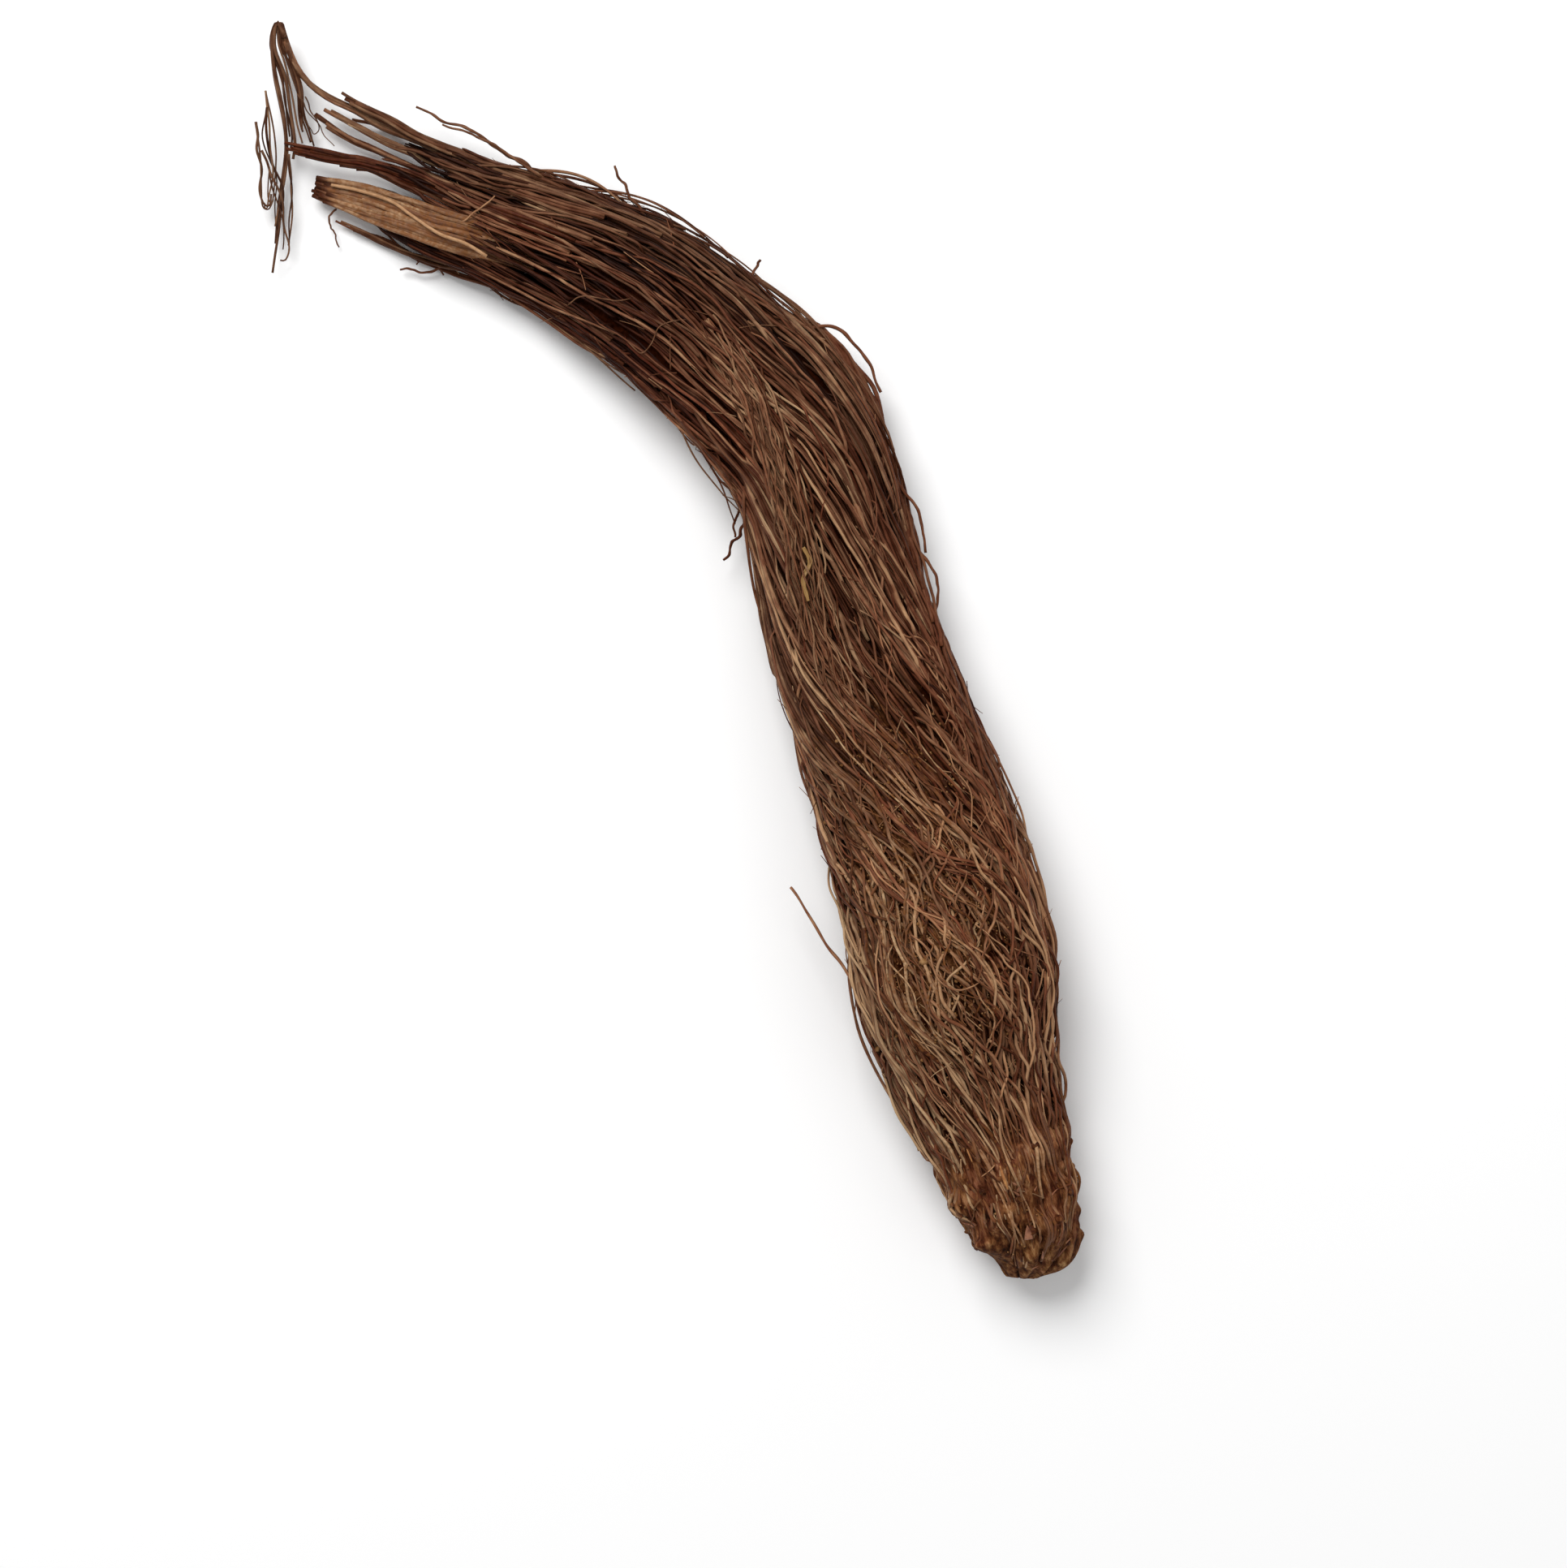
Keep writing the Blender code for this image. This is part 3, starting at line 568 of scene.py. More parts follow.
s = np.linspace(0, 1, MATTED_RINGS)
start = np.clip(rng.normal(0.74, 0.08, (MATTED, 1)), 0.50, 0.93)
length = rng.uniform(3.0, 10.0, (MATTED, 1)) * MM
aslant = rng.normal(0, 0.45, (MATTED, 1))
along = length * s
u = start + along * np.cos(aslant) / SHEAF_LENGTH
girth = np.mean(section_at(start)[2:], axis=0)
angle = rng.normal(1.7, 0.65, (MATTED, 1)) + winding(u) - winding(start)
sideways = along * np.sin(aslant) + waves(rng, along, (0.009, 0.004), (0.35 * MM, 0.12 * MM))
angle = angle + sideways / girth
lift = rng.uniform(-1.3, 0.5, (MATTED, 1)) * MM + waves(rng, along, (0.007,), (0.25 * MM,))
radius = rng.uniform(0.08, 0.17, (MATTED, 1)) * MM * (1.1 - 0.4 * s)
path, out = on_sheaf(u, angle, lift, 1.0, radius)
rootlet_piece("matted_hair_roots", path, radius, out, bark, rng.normal(0.36, 0.13, (MATTED, 1)),
              np.clip(rng.normal(0.5, 0.3, (MATTED, 1)), 0, 1), soil_at(u, angle) * 0.6, MATTED_SIDES)


# The swept bundles
# Four thin bundles of reddish rootlets sweep down over the belly together, towards its outer edge
# or the rhizome. They came loose when the root was combed. A fifth, broad and olive, lies highest
# on the bend and carries the scrap of grass.
BUNDLES_MM = (
    # rootlets, spread in millimetres, how high for its width, tone, kind, height in millimetres,
    # and points seen from above
    (9, 1.5, 0.3, 0.30, 0.10, 0.6, ((35.0, -34.6), (41.9, -43.2), (48.7, -47.9), (55.6, -54.1),
                                    (62.0, -62.1), (67.1, -71.3), (68.9, -80.5))),
    (9, 1.3, 0.3, 0.24, 0.15, 0.6, ((39.0, -26.0), (44.1, -33.5), (52.2, -39.8), (57.9, -42.0),
                                    (62.6, -46.4), (64.6, -53.8), (63.6, -62.6))),
    (7, 1.2, 0.3, 0.26, 0.05, 0.6, ((52.0, -18.0), (59.7, -30.0), (63.6, -38.6), (66.4, -48.0),
                                    (69.0, -60.0))),
    (8, 1.8, 0.3, 0.30, 0.35, 0.6, ((40.0, -50.0), (40.7, -59.8), (44.1, -70.8), (50.0, -80.5),
                                    (56.0, -89.0), (60.0, -97.0))),
    (44, 3.4, 0.45, 0.22, 0.70, 2.5, ((8.0, 60.0), (15.0, 48.0), (20.0, 36.0), (23.6, 25.0),
                                      (25.6, 15.0), (28.0, 5.0), (32.0, -6.0), (37.0, -18.0))),
)
BUNDLE_RINGS = 54
# How far a bundle's ends are sunk, and the power of the sine by which it rises from them. Each is
# a value for no height, and what every millimetre of height adds to it.
BUNDLE_SINK_MM = (1.6, 1.3)
BUNDLE_POWER = (0.3, 0.3)


def resting(points_mm, lift_mm=0.0):
    """Points given from above as x and y in millimetres, laid on the sheaf's upper surface:
    above the nearest point of the spine by the ellipse's height at that distance from it. Past
    the sheaf's edge they keep the height of its middle."""
    xy = np.asarray(points_mm, float) * MM
    apart = np.linalg.norm(xy[:, None] - spine[None, :, :2], axis=-1)
    u = spine_place[np.argmin(apart, 1)]
    wide, high = section_at(u)[2:]
    inside = np.clip(1 - (apart.min(1) / wide) ** 2, 0, 1)
    z = high * (1 + np.sqrt(inside)) + UNDERSIDE_HEIGHT - let_down(u) + np.asarray(lift_mm) * MM
    return np.column_stack([xy, z])


def evenly(points, rings):
    """A curve through points, resampled at equal distances along it."""
    curve = curve_through(points)
    run = np.append(0, np.cumsum(np.linalg.norm(np.diff(curve, axis=0), axis=1)))
    wanted = np.linspace(0, run[-1], rings)
    return np.stack([np.interp(wanted, run, column) for column in curve.T], -1)


def heading_and_side(line):
    """The unit heading at each point of a line, and the level direction to its right."""
    heading = np.gradient(line, axis=0)
    heading /= np.linalg.norm(heading, axis=1)[:, None]
    side = np.cross(heading, UP)
    return heading, side / np.linalg.norm(side, axis=1)[:, None]


def strands(rng, centre_line, count, rings, spread, flat, shortest, loose):
    """Paths of rootlets that run together along a centre line. Each keeps its own place in an
    ellipse round it, spread wide and flat times as high, turns slowly about it, adds waves of
    its own and stops between the shortest share of the line and its end. Spread has one value
    for each point of the line."""
    t = np.linspace(0, 1, rings) * rng.uniform(shortest, 1, (count, 1))
    base = np.linspace(0, 1, len(centre_line))
    heading, side = heading_and_side(centre_line)
    over = np.cross(side, heading)
    centre, side, over = (np.stack([np.interp(t, base, column) for column in part.T], -1)
                          for part in (centre_line, side, over))
    from_centre = np.sqrt(rng.random((count, 1))) * np.interp(t, base, spread)
    turned = rng.uniform(0, 2 * math.pi, (count, 1)) + rng.normal(0, 0.8, (count, 1)) * t
    along = t * np.linalg.norm(np.diff(centre_line, axis=0), axis=1).sum()
    sway = [waves(rng, along, (0.030, 0.012, 0.006), (loose, loose * 0.5, loose * 0.15))
            for _ in range(2)]
    across = from_centre * np.cos(turned) + sway[0]
    raised = from_centre * np.sin(turned) * flat + sway[1] * flat
    path = centre + side * across[..., None] + over * raised[..., None]
    return path, np.broadcast_to(over, path.shape)


for number, (count, spread_mm, flat, tone, kind, lift, points) in enumerate(BUNDLES_MM):
    line = evenly(resting(points, lift), BUNDLE_RINGS)
    sink, power = (flat_value + added * lift for flat_value, added in (BUNDLE_SINK_MM, BUNDLE_POWER))
    arch = np.sin(np.linspace(0.02, math.pi - 0.02, BUNDLE_RINGS)) ** power
    line[:, 2] -= sink * MM * (1 - arch)
    path, out = strands(rng, line, count, BUNDLE_RINGS, np.full(BUNDLE_RINGS, spread_mm * MM), flat,
                        0.6, 0.7 * MM)
    radius = rng.uniform(0.16, 0.32, (count, 1)) * MM * np.linspace(1.1, 0.7, BUNDLE_RINGS)
    rootlet_piece(f"swept_bundle_{number + 1}", path, radius, out, bark,
                  tone + rng.normal(0, 0.12, (count, 1)),
                  np.clip(kind + rng.normal(0, 0.20, (count, 1)), 0, 1), 0.15)


# The second lock
# A second lock of rootlets comes out from under the outer edge of the bend and runs down along
# that edge. It is laid like the rest, a little redder.
SECOND_LOCK_MM = (
    (20.0, 61.0), (27.0, 60.0), (33.0, 53.0), (38.0, 44.0), (41.0, 34.0), (44.0, 22.0),
    (47.5, 8.0), (52.5, -8.0), (59.5, -28.0), (65.5, -48.0),
)
SECOND_LOCK_LIFT_MM = (-5.5, -3.0, -2.4, -2.0, -1.6, -1.2, -0.8, -0.4, -0.6, -2.5)
SECOND_LOCK_ROOTLETS = 26
SECOND_LOCK_RINGS = 64

line = evenly(resting(SECOND_LOCK_MM, SECOND_LOCK_LIFT_MM), SECOND_LOCK_RINGS)
s = np.linspace(0, 1, SECOND_LOCK_RINGS)
spread = 2.6 * MM * np.interp(s, [0, 0.12, 0.5, 1], [0.4, 0.8, 1.1, 1.3])
path, out = strands(rng, line, SECOND_LOCK_ROOTLETS, SECOND_LOCK_RINGS, spread, 0.45, 0.55, 0.4 * MM)
radius = np.broadcast_to(rng.uniform(0.26, 0.46, (SECOND_LOCK_ROOTLETS, 1)) * MM, path.shape[:2])
rootlet_piece("second_lock", path, radius, out, bark,
              rng.normal(0.17, 0.1, (SECOND_LOCK_ROOTLETS, 1)),
              np.clip(rng.normal(0.35, 0.2, (SECOND_LOCK_ROOTLETS, 1)), 0, 1), 0.1)


# The frayed locks of the tail
# The sheaf ends in separate locks of four to eleven rootlets that dried stuck together, with air
# between them. Each was broken or cut off blunt. The hook lock bends back at its tip.
TAIL_LOCKS = (
    # name, place on the sheaf, side from -1 at the inner edge to 1 at the outer, rootlets,
    # spread in millimetres, tone, kind, and the points it runs through in millimetres
    ("hook_lock", 0.11, 0.80, 7, 0.75, 0.24, 0.95, (
        (-50.0, 96.6, 4.2), (-57.5, 100.5, 5.0), (-63.0, 103.0, 5.4), (-67.7, 106.9, 5.8),
        (-70.2, 111.2, 6.0), (-72.0, 116.6, 6.2))),
    ("top_lock", 0.12, 0.93, 9, 0.95, 0.14, 0.85, (
        (-44.0, 94.6, 5.6), (-50.0, 97.6, 6.0), (-56.0, 100.7, 6.2), (-61.9, 104.0, 6.4))),
    ("second_tail_lock", 0.09, 0.55, 6, 0.60, 0.18, 0.90, (
        (-49.5, 94.0, 4.2), (-56.5, 97.3, 4.4), (-64.8, 101.6, 4.2))),
    ("third_tail_lock", 0.07, 0.30, 7, 0.70, 0.16, 0.80, (
        (-52.5, 92.8, 3.6), (-58.7, 95.4, 3.4), (-63.0, 98.0, 3.2), (-66.2, 100.6, 3.0))),
    ("dark_lock", 0.06, 0.15, 11, 1.00, 0.05, 0.20, (
        (-54.0, 90.4, 4.8), (-60.2, 91.6, 4.8), (-66.0, 92.8, 4.8), (-71.5, 93.8, 4.6))),
    ("middle_lock", 0.06, -0.10, 7, 0.75, 0.16, 0.35, (
        (-54.0, 89.4, 3.4), (-58.0, 90.2, 3.0), (-62.0, 90.8, 2.4))),
    ("low_lock", 0.12, -0.80, 5, 0.50, 0.12, 0.55, (
        (-45.5, 73.4, 2.4), (-51.0, 75.4, 2.0), (-57.0, 78.2, 1.8), (-63.6, 81.6, 1.6))),
    ("lowest_lock", 0.14, -0.95, 4, 0.45, 0.10, 0.45, (
        (-42.0, 71.6, 2.0), (-47.0, 73.8, 1.6), (-53.4, 77.4, 1.4), (-58.6, 78.8, 1.4))),
    ("stub_lock", 0.07, 0.65, 4, 0.45, 0.18, 0.60, (
        (-50.0, 97.0, 2.2), (-55.0, 98.8, 1.6), (-59.0, 99.6, 1.2))),
)
TAIL_RINGS = 44

s = np.linspace(0, 1, TAIL_RINGS)
for name, root_place, side, count, spread_mm, tone, kind, points in TAIL_LOCKS:
    rooted = on_sheaf(np.array([root_place + 0.10, root_place + 0.03]),
                      np.full(2, math.acos(side)), -0.6 * MM)[0]
    line = evenly(np.vstack([rooted, np.array(points) * MM]), TAIL_RINGS)
    spread = spread_mm * MM * np.interp(s, [0, 0.4, 0.9, 1], [2.2, 1.3, 0.8, 0.7])
    path, out = strands(rng, line, count, TAIL_RINGS, spread, 0.6, 0.90, 0.14 * MM)
    radius = rng.uniform(0.24, 0.46, (count, 1)) * MM * (1 - 0.15 * s)
    path[..., 2] = np.maximum(path[..., 2], radius)
    rootlet_piece(name, path, radius, out, bark, tone + rng.normal(0, 0.08, (count, 1)),
                  np.clip(kind + rng.normal(0, 0.15, (count, 1)), 0, 1), 0.1)


# The matted flat lock
# Below them is a lock whose rootlets dried flat side by side in soil, like a strip of matting.
# It is ochre, with one pale rib along it, and a dark crust on its blunt end.
MAT_MM = ((-24.0, 73.0, 7.0), (-32.0, 75.4, 8.4), (-38.0, 77.2, 9.3), (-43.0, 78.8, 9.0),
          (-48.0, 80.8, 7.6), (-54.0, 83.0, 5.4), (-60.0, 85.0, 4.2), (-66.2, 87.0, 3.0))
MAT_ROOTLETS = 44
MAT_RINGS = 50
MAT_RIB_MM = ((-33.0, 72.6, 12.0), (-37.0, 75.0, 12.0), (-41.9, 76.9, 11.2), (-47.0, 80.4, 9.4),
              (-51.2, 83.4, 7.6), (-57.3, 85.6, 6.0), (-62.5, 86.8, 5.0))

line = evenly(np.array(MAT_MM) * MM, MAT_RINGS)
s = np.linspace(0, 1, MAT_RINGS)
spread = MM * np.interp(s, [0, 0.2, 0.75, 0.95, 1], [2.6, 3.6, 3.3, 2.3, 1.9])
path, out = strands(rng, line, MAT_ROOTLETS, MAT_RINGS, spread, 0.20, 0.92, 0.12 * MM)
radius = rng.uniform(0.30, 0.58, (MAT_ROOTLETS, 1)) * MM * np.ones(MAT_RINGS)
path[..., 2] = np.maximum(path[..., 2], radius)
end_crust = smooth_step((s - 0.93) / 0.05)
rootlet_piece("matted_lock", path, radius, out, bark,
              rng.normal(0.22, 0.06, (MAT_ROOTLETS, 1)) + 0.16 * s - 0.42 * end_crust,
              np.clip(rng.normal(0.70, 0.12, (MAT_ROOTLETS, 1)), 0, 1),
              0.7 * (1 - end_crust))
path = evenly(np.array(MAT_RIB_MM) * MM, MAT_RINGS)[None]
rootlet_piece("matted_lock_rib", path, np.full((1, MAT_RINGS), 0.34 * MM),
              np.broadcast_to(UP, path.shape), bark, 0.62, 0.45, 0.3)


# The hanging hairs
# From the hook lock's bend two dozen fine dark rootlets hang back across the ends of the other
# locks. Some curl up again at their tips. They are air-dried and stiff, so they hold off the
# table.
HAIRS_MM = (
    # copies, radius in millimetres, and points
    (3, 0.36, ((-71.3, 113.9), (-72.4, 116.9), (-73.5, 113.3), (-72.9, 108.0), (-71.9, 102.0),
            (-71.3, 95.3), (-71.7, 88.5), (-72.6, 81.0), (-73.4, 75.0), (-73.8, 70.8))),
    (3, 0.42, ((-71.0, 114.5), (-72.6, 116.7), (-73.1, 112.5), (-71.6, 107.3), (-70.5, 101.3),
            (-69.9, 95.3), (-70.2, 92.3))),
    (3, 0.40, ((-70.8, 114.0), (-71.9, 116.7), (-72.0, 112.5), (-70.5, 108.0), (-69.3, 102.8),
            (-68.7, 97.5), (-67.8, 94.2))),
    (3, 0.34, ((-70.6, 113.0), (-70.2, 111.0), (-69.0, 105.8), (-68.4, 101.3), (-67.2, 97.5),
            (-66.6, 94.5))),
    (1, 0.20, ((-68.7, 103.5), (-66.0, 99.0), (-63.8, 96.0), (-62.4, 93.9))),
    (2, 0.26, ((-74.6, 104.1), (-73.7, 99.0), (-72.9, 92.3), (-73.5, 86.3), (-74.0, 83.3),
            (-74.7, 84.6), (-74.3, 90.0))),
    (2, 0.28, ((-76.4, 98.3), (-75.8, 93.0), (-75.6, 87.0), (-75.5, 83.6), (-74.4, 83.0),
            (-73.5, 85.2))),
    (2, 0.28, ((-75.3, 93.0), (-74.1, 90.0), (-73.1, 86.3), (-72.3, 82.5), (-71.3, 76.5),
            (-72.0, 73.2), (-72.9, 73.0))),
    (2, 0.30, ((-70.2, 92.3), (-70.5, 86.3), (-70.8, 80.3), (-71.4, 75.0))),
    (2, 0.26, ((-74.3, 101.0), (-75.0, 96.5), (-74.0, 91.0), (-72.6, 86.0), (-73.2, 79.0))),
    (1, 0.18, ((-67.2, 103.0), (-65.2, 99.4), (-64.6, 97.6), (-65.8, 96.9), (-66.6, 98.2))),
)
HAIR_RINGS = 48

s = np.linspace(0, 1, HAIR_RINGS)
for number, (copies, thick, points) in enumerate(HAIRS_MM):
    along = np.broadcast_to(s * 0.05, (copies, HAIR_RINGS))
    line = evenly(np.array(points) * MM, HAIR_RINGS)
    line = np.column_stack([line, MM * (6.6 - 3.4 * smooth_step(s * 1.2))])
    reached = s * np.append(1, rng.uniform(0.8, 1.0, copies - 1))[:, None]
    path = np.stack([np.interp(reached, s, column) for column in line.T], -1)
    aside = rng.normal(0, 0.35, (copies, 1, 3)) * MM
    path = path + aside * smooth_step(s * 3)[:, None]
    path[..., 0] += waves(rng, along, (0.026,), (0.25 * MM,)) * smooth_step(s * 4)
    path[..., 2] += waves(rng, along, (0.025,), (0.4 * MM,)) * smooth_step(s * 3)
    radius = thick * MM * rng.uniform(0.65, 1.1, (copies, 1)) * (1 - 0.35 * s)
    rootlet_piece(f"hanging_hairs_{number + 1}", path, radius, np.broadcast_to(UP, path.shape), bark,
                  rng.normal(0.13, 0.08, (copies, 1)), 0.95, 0.0)


# The loose rootlets
# Here and there a rootlet has come out of the sheaf: strays that stand off its edges, thick ones
# that lie on top, and thin ones that curl. The thickest are paler where their bark has rubbed.
LOOSE_MM = (
    # radius, tone, kind, and points with their heights
    (0.36, 0.18, 0.70, ((-24.8, 89.0, 8.2), (-31.5, 93.4, 8.4), (-36.8, 96.6, 8.0),
                        (-46.4, 100.7, 7.0))),
    (0.30, 0.20, 0.70, ((-22.8, 87.6, 8.6), (-29.5, 92.0, 8.9), (-34.0, 94.8, 8.6),
                        (-41.4, 97.6, 8.0))),
    (0.34, 0.14, 0.60, ((-1.5, 78.0, 9.6), (-6.0, 83.0, 11.0), (-9.5, 89.2, 11.5))),
    (0.36, 0.14, 0.40, ((12.0, 64.5, 8.0), (15.5, 68.8, 9.6), (17.6, 72.4, 10.0))),
    (0.40, 0.20, 0.30, ((20.5, 57.0, 8.0), (28.5, 60.0, 9.0), (35.0, 57.0, 9.0),
                        (40.0, 48.0, 8.4))),
    (0.36, 0.02, 0.20, ((17.6, 26.0, 8.0), (14.0, 22.4, 6.8), (10.8, 17.0, 5.6))),
    (0.30, 0.02, 0.20, ((17.0, 28.0, 8.6), (13.2, 25.4, 7.6), (12.6, 21.0, 6.8))),
    (0.36, 0.18, 0.30, ((38.5, 36.0, 11.0), (43.5, 30.0, 11.5), (47.2, 24.4, 10.5),
                        (48.0, 18.0, 9.5))),
    (0.30, 0.16, 0.30, ((46.0, 19.5, 10.5), (50.2, 13.0, 11.6), (49.8, 7.2, 11.6),
                        (46.8, 1.0, 11.0))),
    (0.36, 0.34, 0.20, ((40.7, -71.3, 22.0), (36.6, -65.0, 17.5), (33.8, -60.4, 13.0),
                        (28.6, -52.6, 10.5), (23.2, -44.2, 9.0))),
    (0.30, 0.12, 0.40, ((-34.0, 74.2, 3.2), (-44.0, 71.2, 2.0), (-50.2, 71.6, 1.8))),
    (0.34, 0.12, 0.30, ((72.2, -82.0, 11.6), (74.0, -90.0, 9.6), (75.6, -98.0, 8.6),
                        (75.4, -104.0, 8.0))),
    (0.22, 0.45, 0.30, ((-41.5, 76.9, 7.4), (-36.0, 80.4, 10.6), (-31.5, 83.6, 12.0))),
    (0.40, 0.20, 0.60, ((39.0, -62.0, 17.0), (40.6, -70.0, 16.0), (44.2, -80.0, 15.0),
                        (51.0, -92.6, 13.4), (59.0, -106.4, 10.4))),
    (0.34, 0.16, 0.50, ((38.6, -56.0, 17.0), (41.4, -70.0, 18.0), (45.4, -80.0, 17.0),
                        (52.0, -91.6, 15.6), (59.8, -104.0, 13.0))),
    (0.36, 0.20, 0.70, ((40.4, -52.0, 15.0), (41.2, -62.0, 14.6), (44.2, -76.4, 14.0),
                        (49.6, -88.6, 12.6), (57.0, -102.0, 10.6))),
    (0.24, 0.10, 0.50, ((-56.0, 81.6, 2.4), (-52.5, 78.0, 2.0), (-46.6, 72.9, 1.4))),
    (0.26, 0.14, 0.40, ((-54.0, 80.4, 2.8), (-51.0, 78.2, 2.4), (-46.0, 74.6, 1.8),
                        (-41.9, 70.5, 1.2))),
    (0.20, 0.10, 0.50, ((-42.6, 78.6, 2.4), (-44.4, 76.4, 2.2), (-47.0, 72.4, 1.6))),
    (0.20, 0.14, 0.60, ((-62.0, 83.0, 2.6), (-63.3, 80.6, 2.0), (-62.4, 78.4, 1.6),
                        (-61.6, 75.8, 1.2))),
    (0.20, 0.26, 0.80, ((22.4, 24.0, 21.0), (24.8, 17.4, 23.5), (27.0, 12.0, 23.4),
                        (29.6, 4.0, 20.6))),
    (0.18, 0.20, 0.60, ((24.2, 18.6, 21.0), (25.6, 12.8, 23.5), (27.4, 8.6, 23.3),
                        (29.8, 1.0, 20.4))),
)
LYING_MM = (
    # radius, tone, kind, lift above the sheaf, and points seen from above
    (0.30, 0.44, 0.45, 0.4, ((16.7, 46.1), (19.5, 38.3), (22.1, 32.9), (26.1, 27.2), (30.0, 20.0))),
    (0.17, 0.46, 0.40, 0.7, ((18.7, 38.6), (20.4, 39.2), (22.0, 38.4), (22.6, 36.9), (21.4, 36.9),
                             (20.2, 37.9))),
    (0.52, 0.42, 0.45, 0.5, ((34.4, 27.2), (37.8, 19.7), (39.9, 15.2), (42.0, 11.0), (44.1, 6.5),
                             (46.2, 1.5))),
    (0.56, 0.30, 0.95, 0.4, ((20.0, 28.0), (25.2, 21.8), (31.5, 14.0), (34.7, 8.1), (37.4, 1.4))),
    (0.50, 0.28, 0.95, 0.4, ((28.0, 12.0), (32.0, 5.5), (35.4, -3.0), (37.9, -12.0))),
    (0.13, 0.22, 0.95, 1.1, ((-18.3, 63.5), (-15.8, 64.6), (-13.2, 64.7), (-9.4, 63.7), (-6.0, 64.2))),
    (0.13, 0.22, 0.95, 1.1, ((-7.2, 56.7), (-4.5, 54.2), (-2.3, 55.7), (-0.9, 58.8), (4.1, 60.2))),
    (0.40, 0.30, 0.15, 0.6, ((33.0, -28.0), (36.8, -34.7), (44.1, -45.5), (52.2, -51.3),
                             (55.7, -54.8), (60.0, -61.0))),
    (0.38, 0.26, 0.10, 0.7, ((39.0, -28.0), (43.0, -32.3), (48.8, -36.9), (57.3, -39.8),
                             (62.6, -44.4), (63.6, -51.3), (62.6, -57.6))),
    (0.34, 0.38, 0.20, 0.6, ((57.5, -38.6), (59.7, -43.2), (60.2, -48.3), (58.5, -53.0),
                             (57.8, -56.4))),
    (0.36, 0.28, 0.10, 0.3, ((62.0, -35.7), (63.6, -41.4), (67.0, -48.9), (69.5, -55.8),
                             (69.3, -64.5), (69.8, -72.0))),
    (0.36, 0.34, 0.25, 0.6, ((47.0, -63.0), (51.0, -66.8), (55.7, -70.2), (60.8, -75.9),
                             (67.0, -84.0))),
    (0.34, 0.30, 0.20, 0.5, ((46.0, -58.0), (49.4, -67.0), (54.0, -72.5), (58.0, -82.0),
                             (61.4, -91.0))),
    (0.34, 0.22, 0.15, 0.4, ((70.2, -60.0), (70.8, -72.0), (71.6, -84.0), (73.0, -94.0))),
    (0.30, 0.36, 0.30, 0.8, ((46.8, -40.0), (49.0, -37.4), (50.4, -39.4), (52.6, -36.6))),
    (0.20, 0.42, 0.20, 1.1, ((44.4, -52.0), (48.0, -55.0), (49.6, -60.0), (53.4, -62.2),
                             (57.4, -60.6))),
    (0.20, 0.40, 0.20, 1.0, ((41.0, 5.0), (43.6, 2.4), (47.6, 1.4), (48.8, -2.6))),
)
LOOSE_RINGS = 56

paths = [evenly(np.array(points) * MM, LOOSE_RINGS) for *_, points in LOOSE_MM]
paths += [evenly(resting(points, lift), LOOSE_RINGS) for *_, lift, points in LYING_MM]
path = np.stack(paths)
thick, tone, kind = np.array([row[:3] for row in LOOSE_MM + LYING_MM]).T
s = np.linspace(0, 1, LOOSE_RINGS)
along = np.broadcast_to(s * 0.04, path.shape[:2])
stiffness = np.clip(thick[:, None] / 0.34, 0.2, 1)
path[..., 0] += stiffness * waves(rng, along, (0.014, 0.006), (0.18 * MM, 0.05 * MM))
path[..., 1] += stiffness * waves(rng, along, (0.014, 0.006), (0.18 * MM, 0.05 * MM))
lying = (np.arange(len(path)) >= len(LOOSE_MM))[:, None]
tucked = smooth_step((0.08 - s) / 0.08) + smooth_step((s - 0.92) / 0.08) * lying
path[..., 2] -= 1.6 * MM * tucked
swelling = 1 + waves(rng, along, (0.01, 0.004), (0.08, 0.05))
radius = thick[:, None] * MM * (1.1 - 0.4 * s) * swelling
rootlet_piece("loose_rootlets", path, radius, np.broadcast_to(UP, path.shape), bark,
              tone[:, None] + waves(rng, along, (0.01,), (0.05,)), kind[:, None], 0.15)


# The edge strays
# Along both edges of the sheaf, from the tail to its middle, single rootlets lift a millimetre or
# two off it. Some come back and some end there, so that light shows between.
STRAYS = 40
STRAY_RINGS = 44

s = np.linspace(0, 1, STRAY_RINGS)
start = rng.uniform(0.05, 0.40, (STRAYS, 1))
u = start + rng.uniform(0.06, 0.15, (STRAYS, 1)) * s
along = u * SHEAF_LENGTH
edges = rng.choice([0.1, math.pi - 0.1], (STRAYS, 1), p=[0.6, 0.4])
angle = edges + rng.normal(0, 0.25, (STRAYS, 1)) + rng.normal(0, 0.15, (STRAYS, 1)) * s
arch = np.sin(math.pi * s * rng.uniform(0.55, 1.0, (STRAYS, 1)))
lift = MM * (-0.7 + rng.uniform(1.2, 3.4, (STRAYS, 1)) * arch)
lift = lift + waves(rng, along, (0.02,), (0.15 * MM,))
radius = rng.uniform(0.18, 0.36, (STRAYS, 1)) * MM * (1.1 - 0.4 * s)
path, out = on_sheaf(u, angle, lift * np.clip(section_at(u)[3] / (8 * MM), 0.4, 1), 1.0, radius)
rootlet_piece("edge_strays", path, radius, out, bark, rng.normal(0.16, 0.08, (STRAYS, 1)),
              np.clip(rng.normal(0.7, 0.2, (STRAYS, 1)), 0, 1), 0.1)


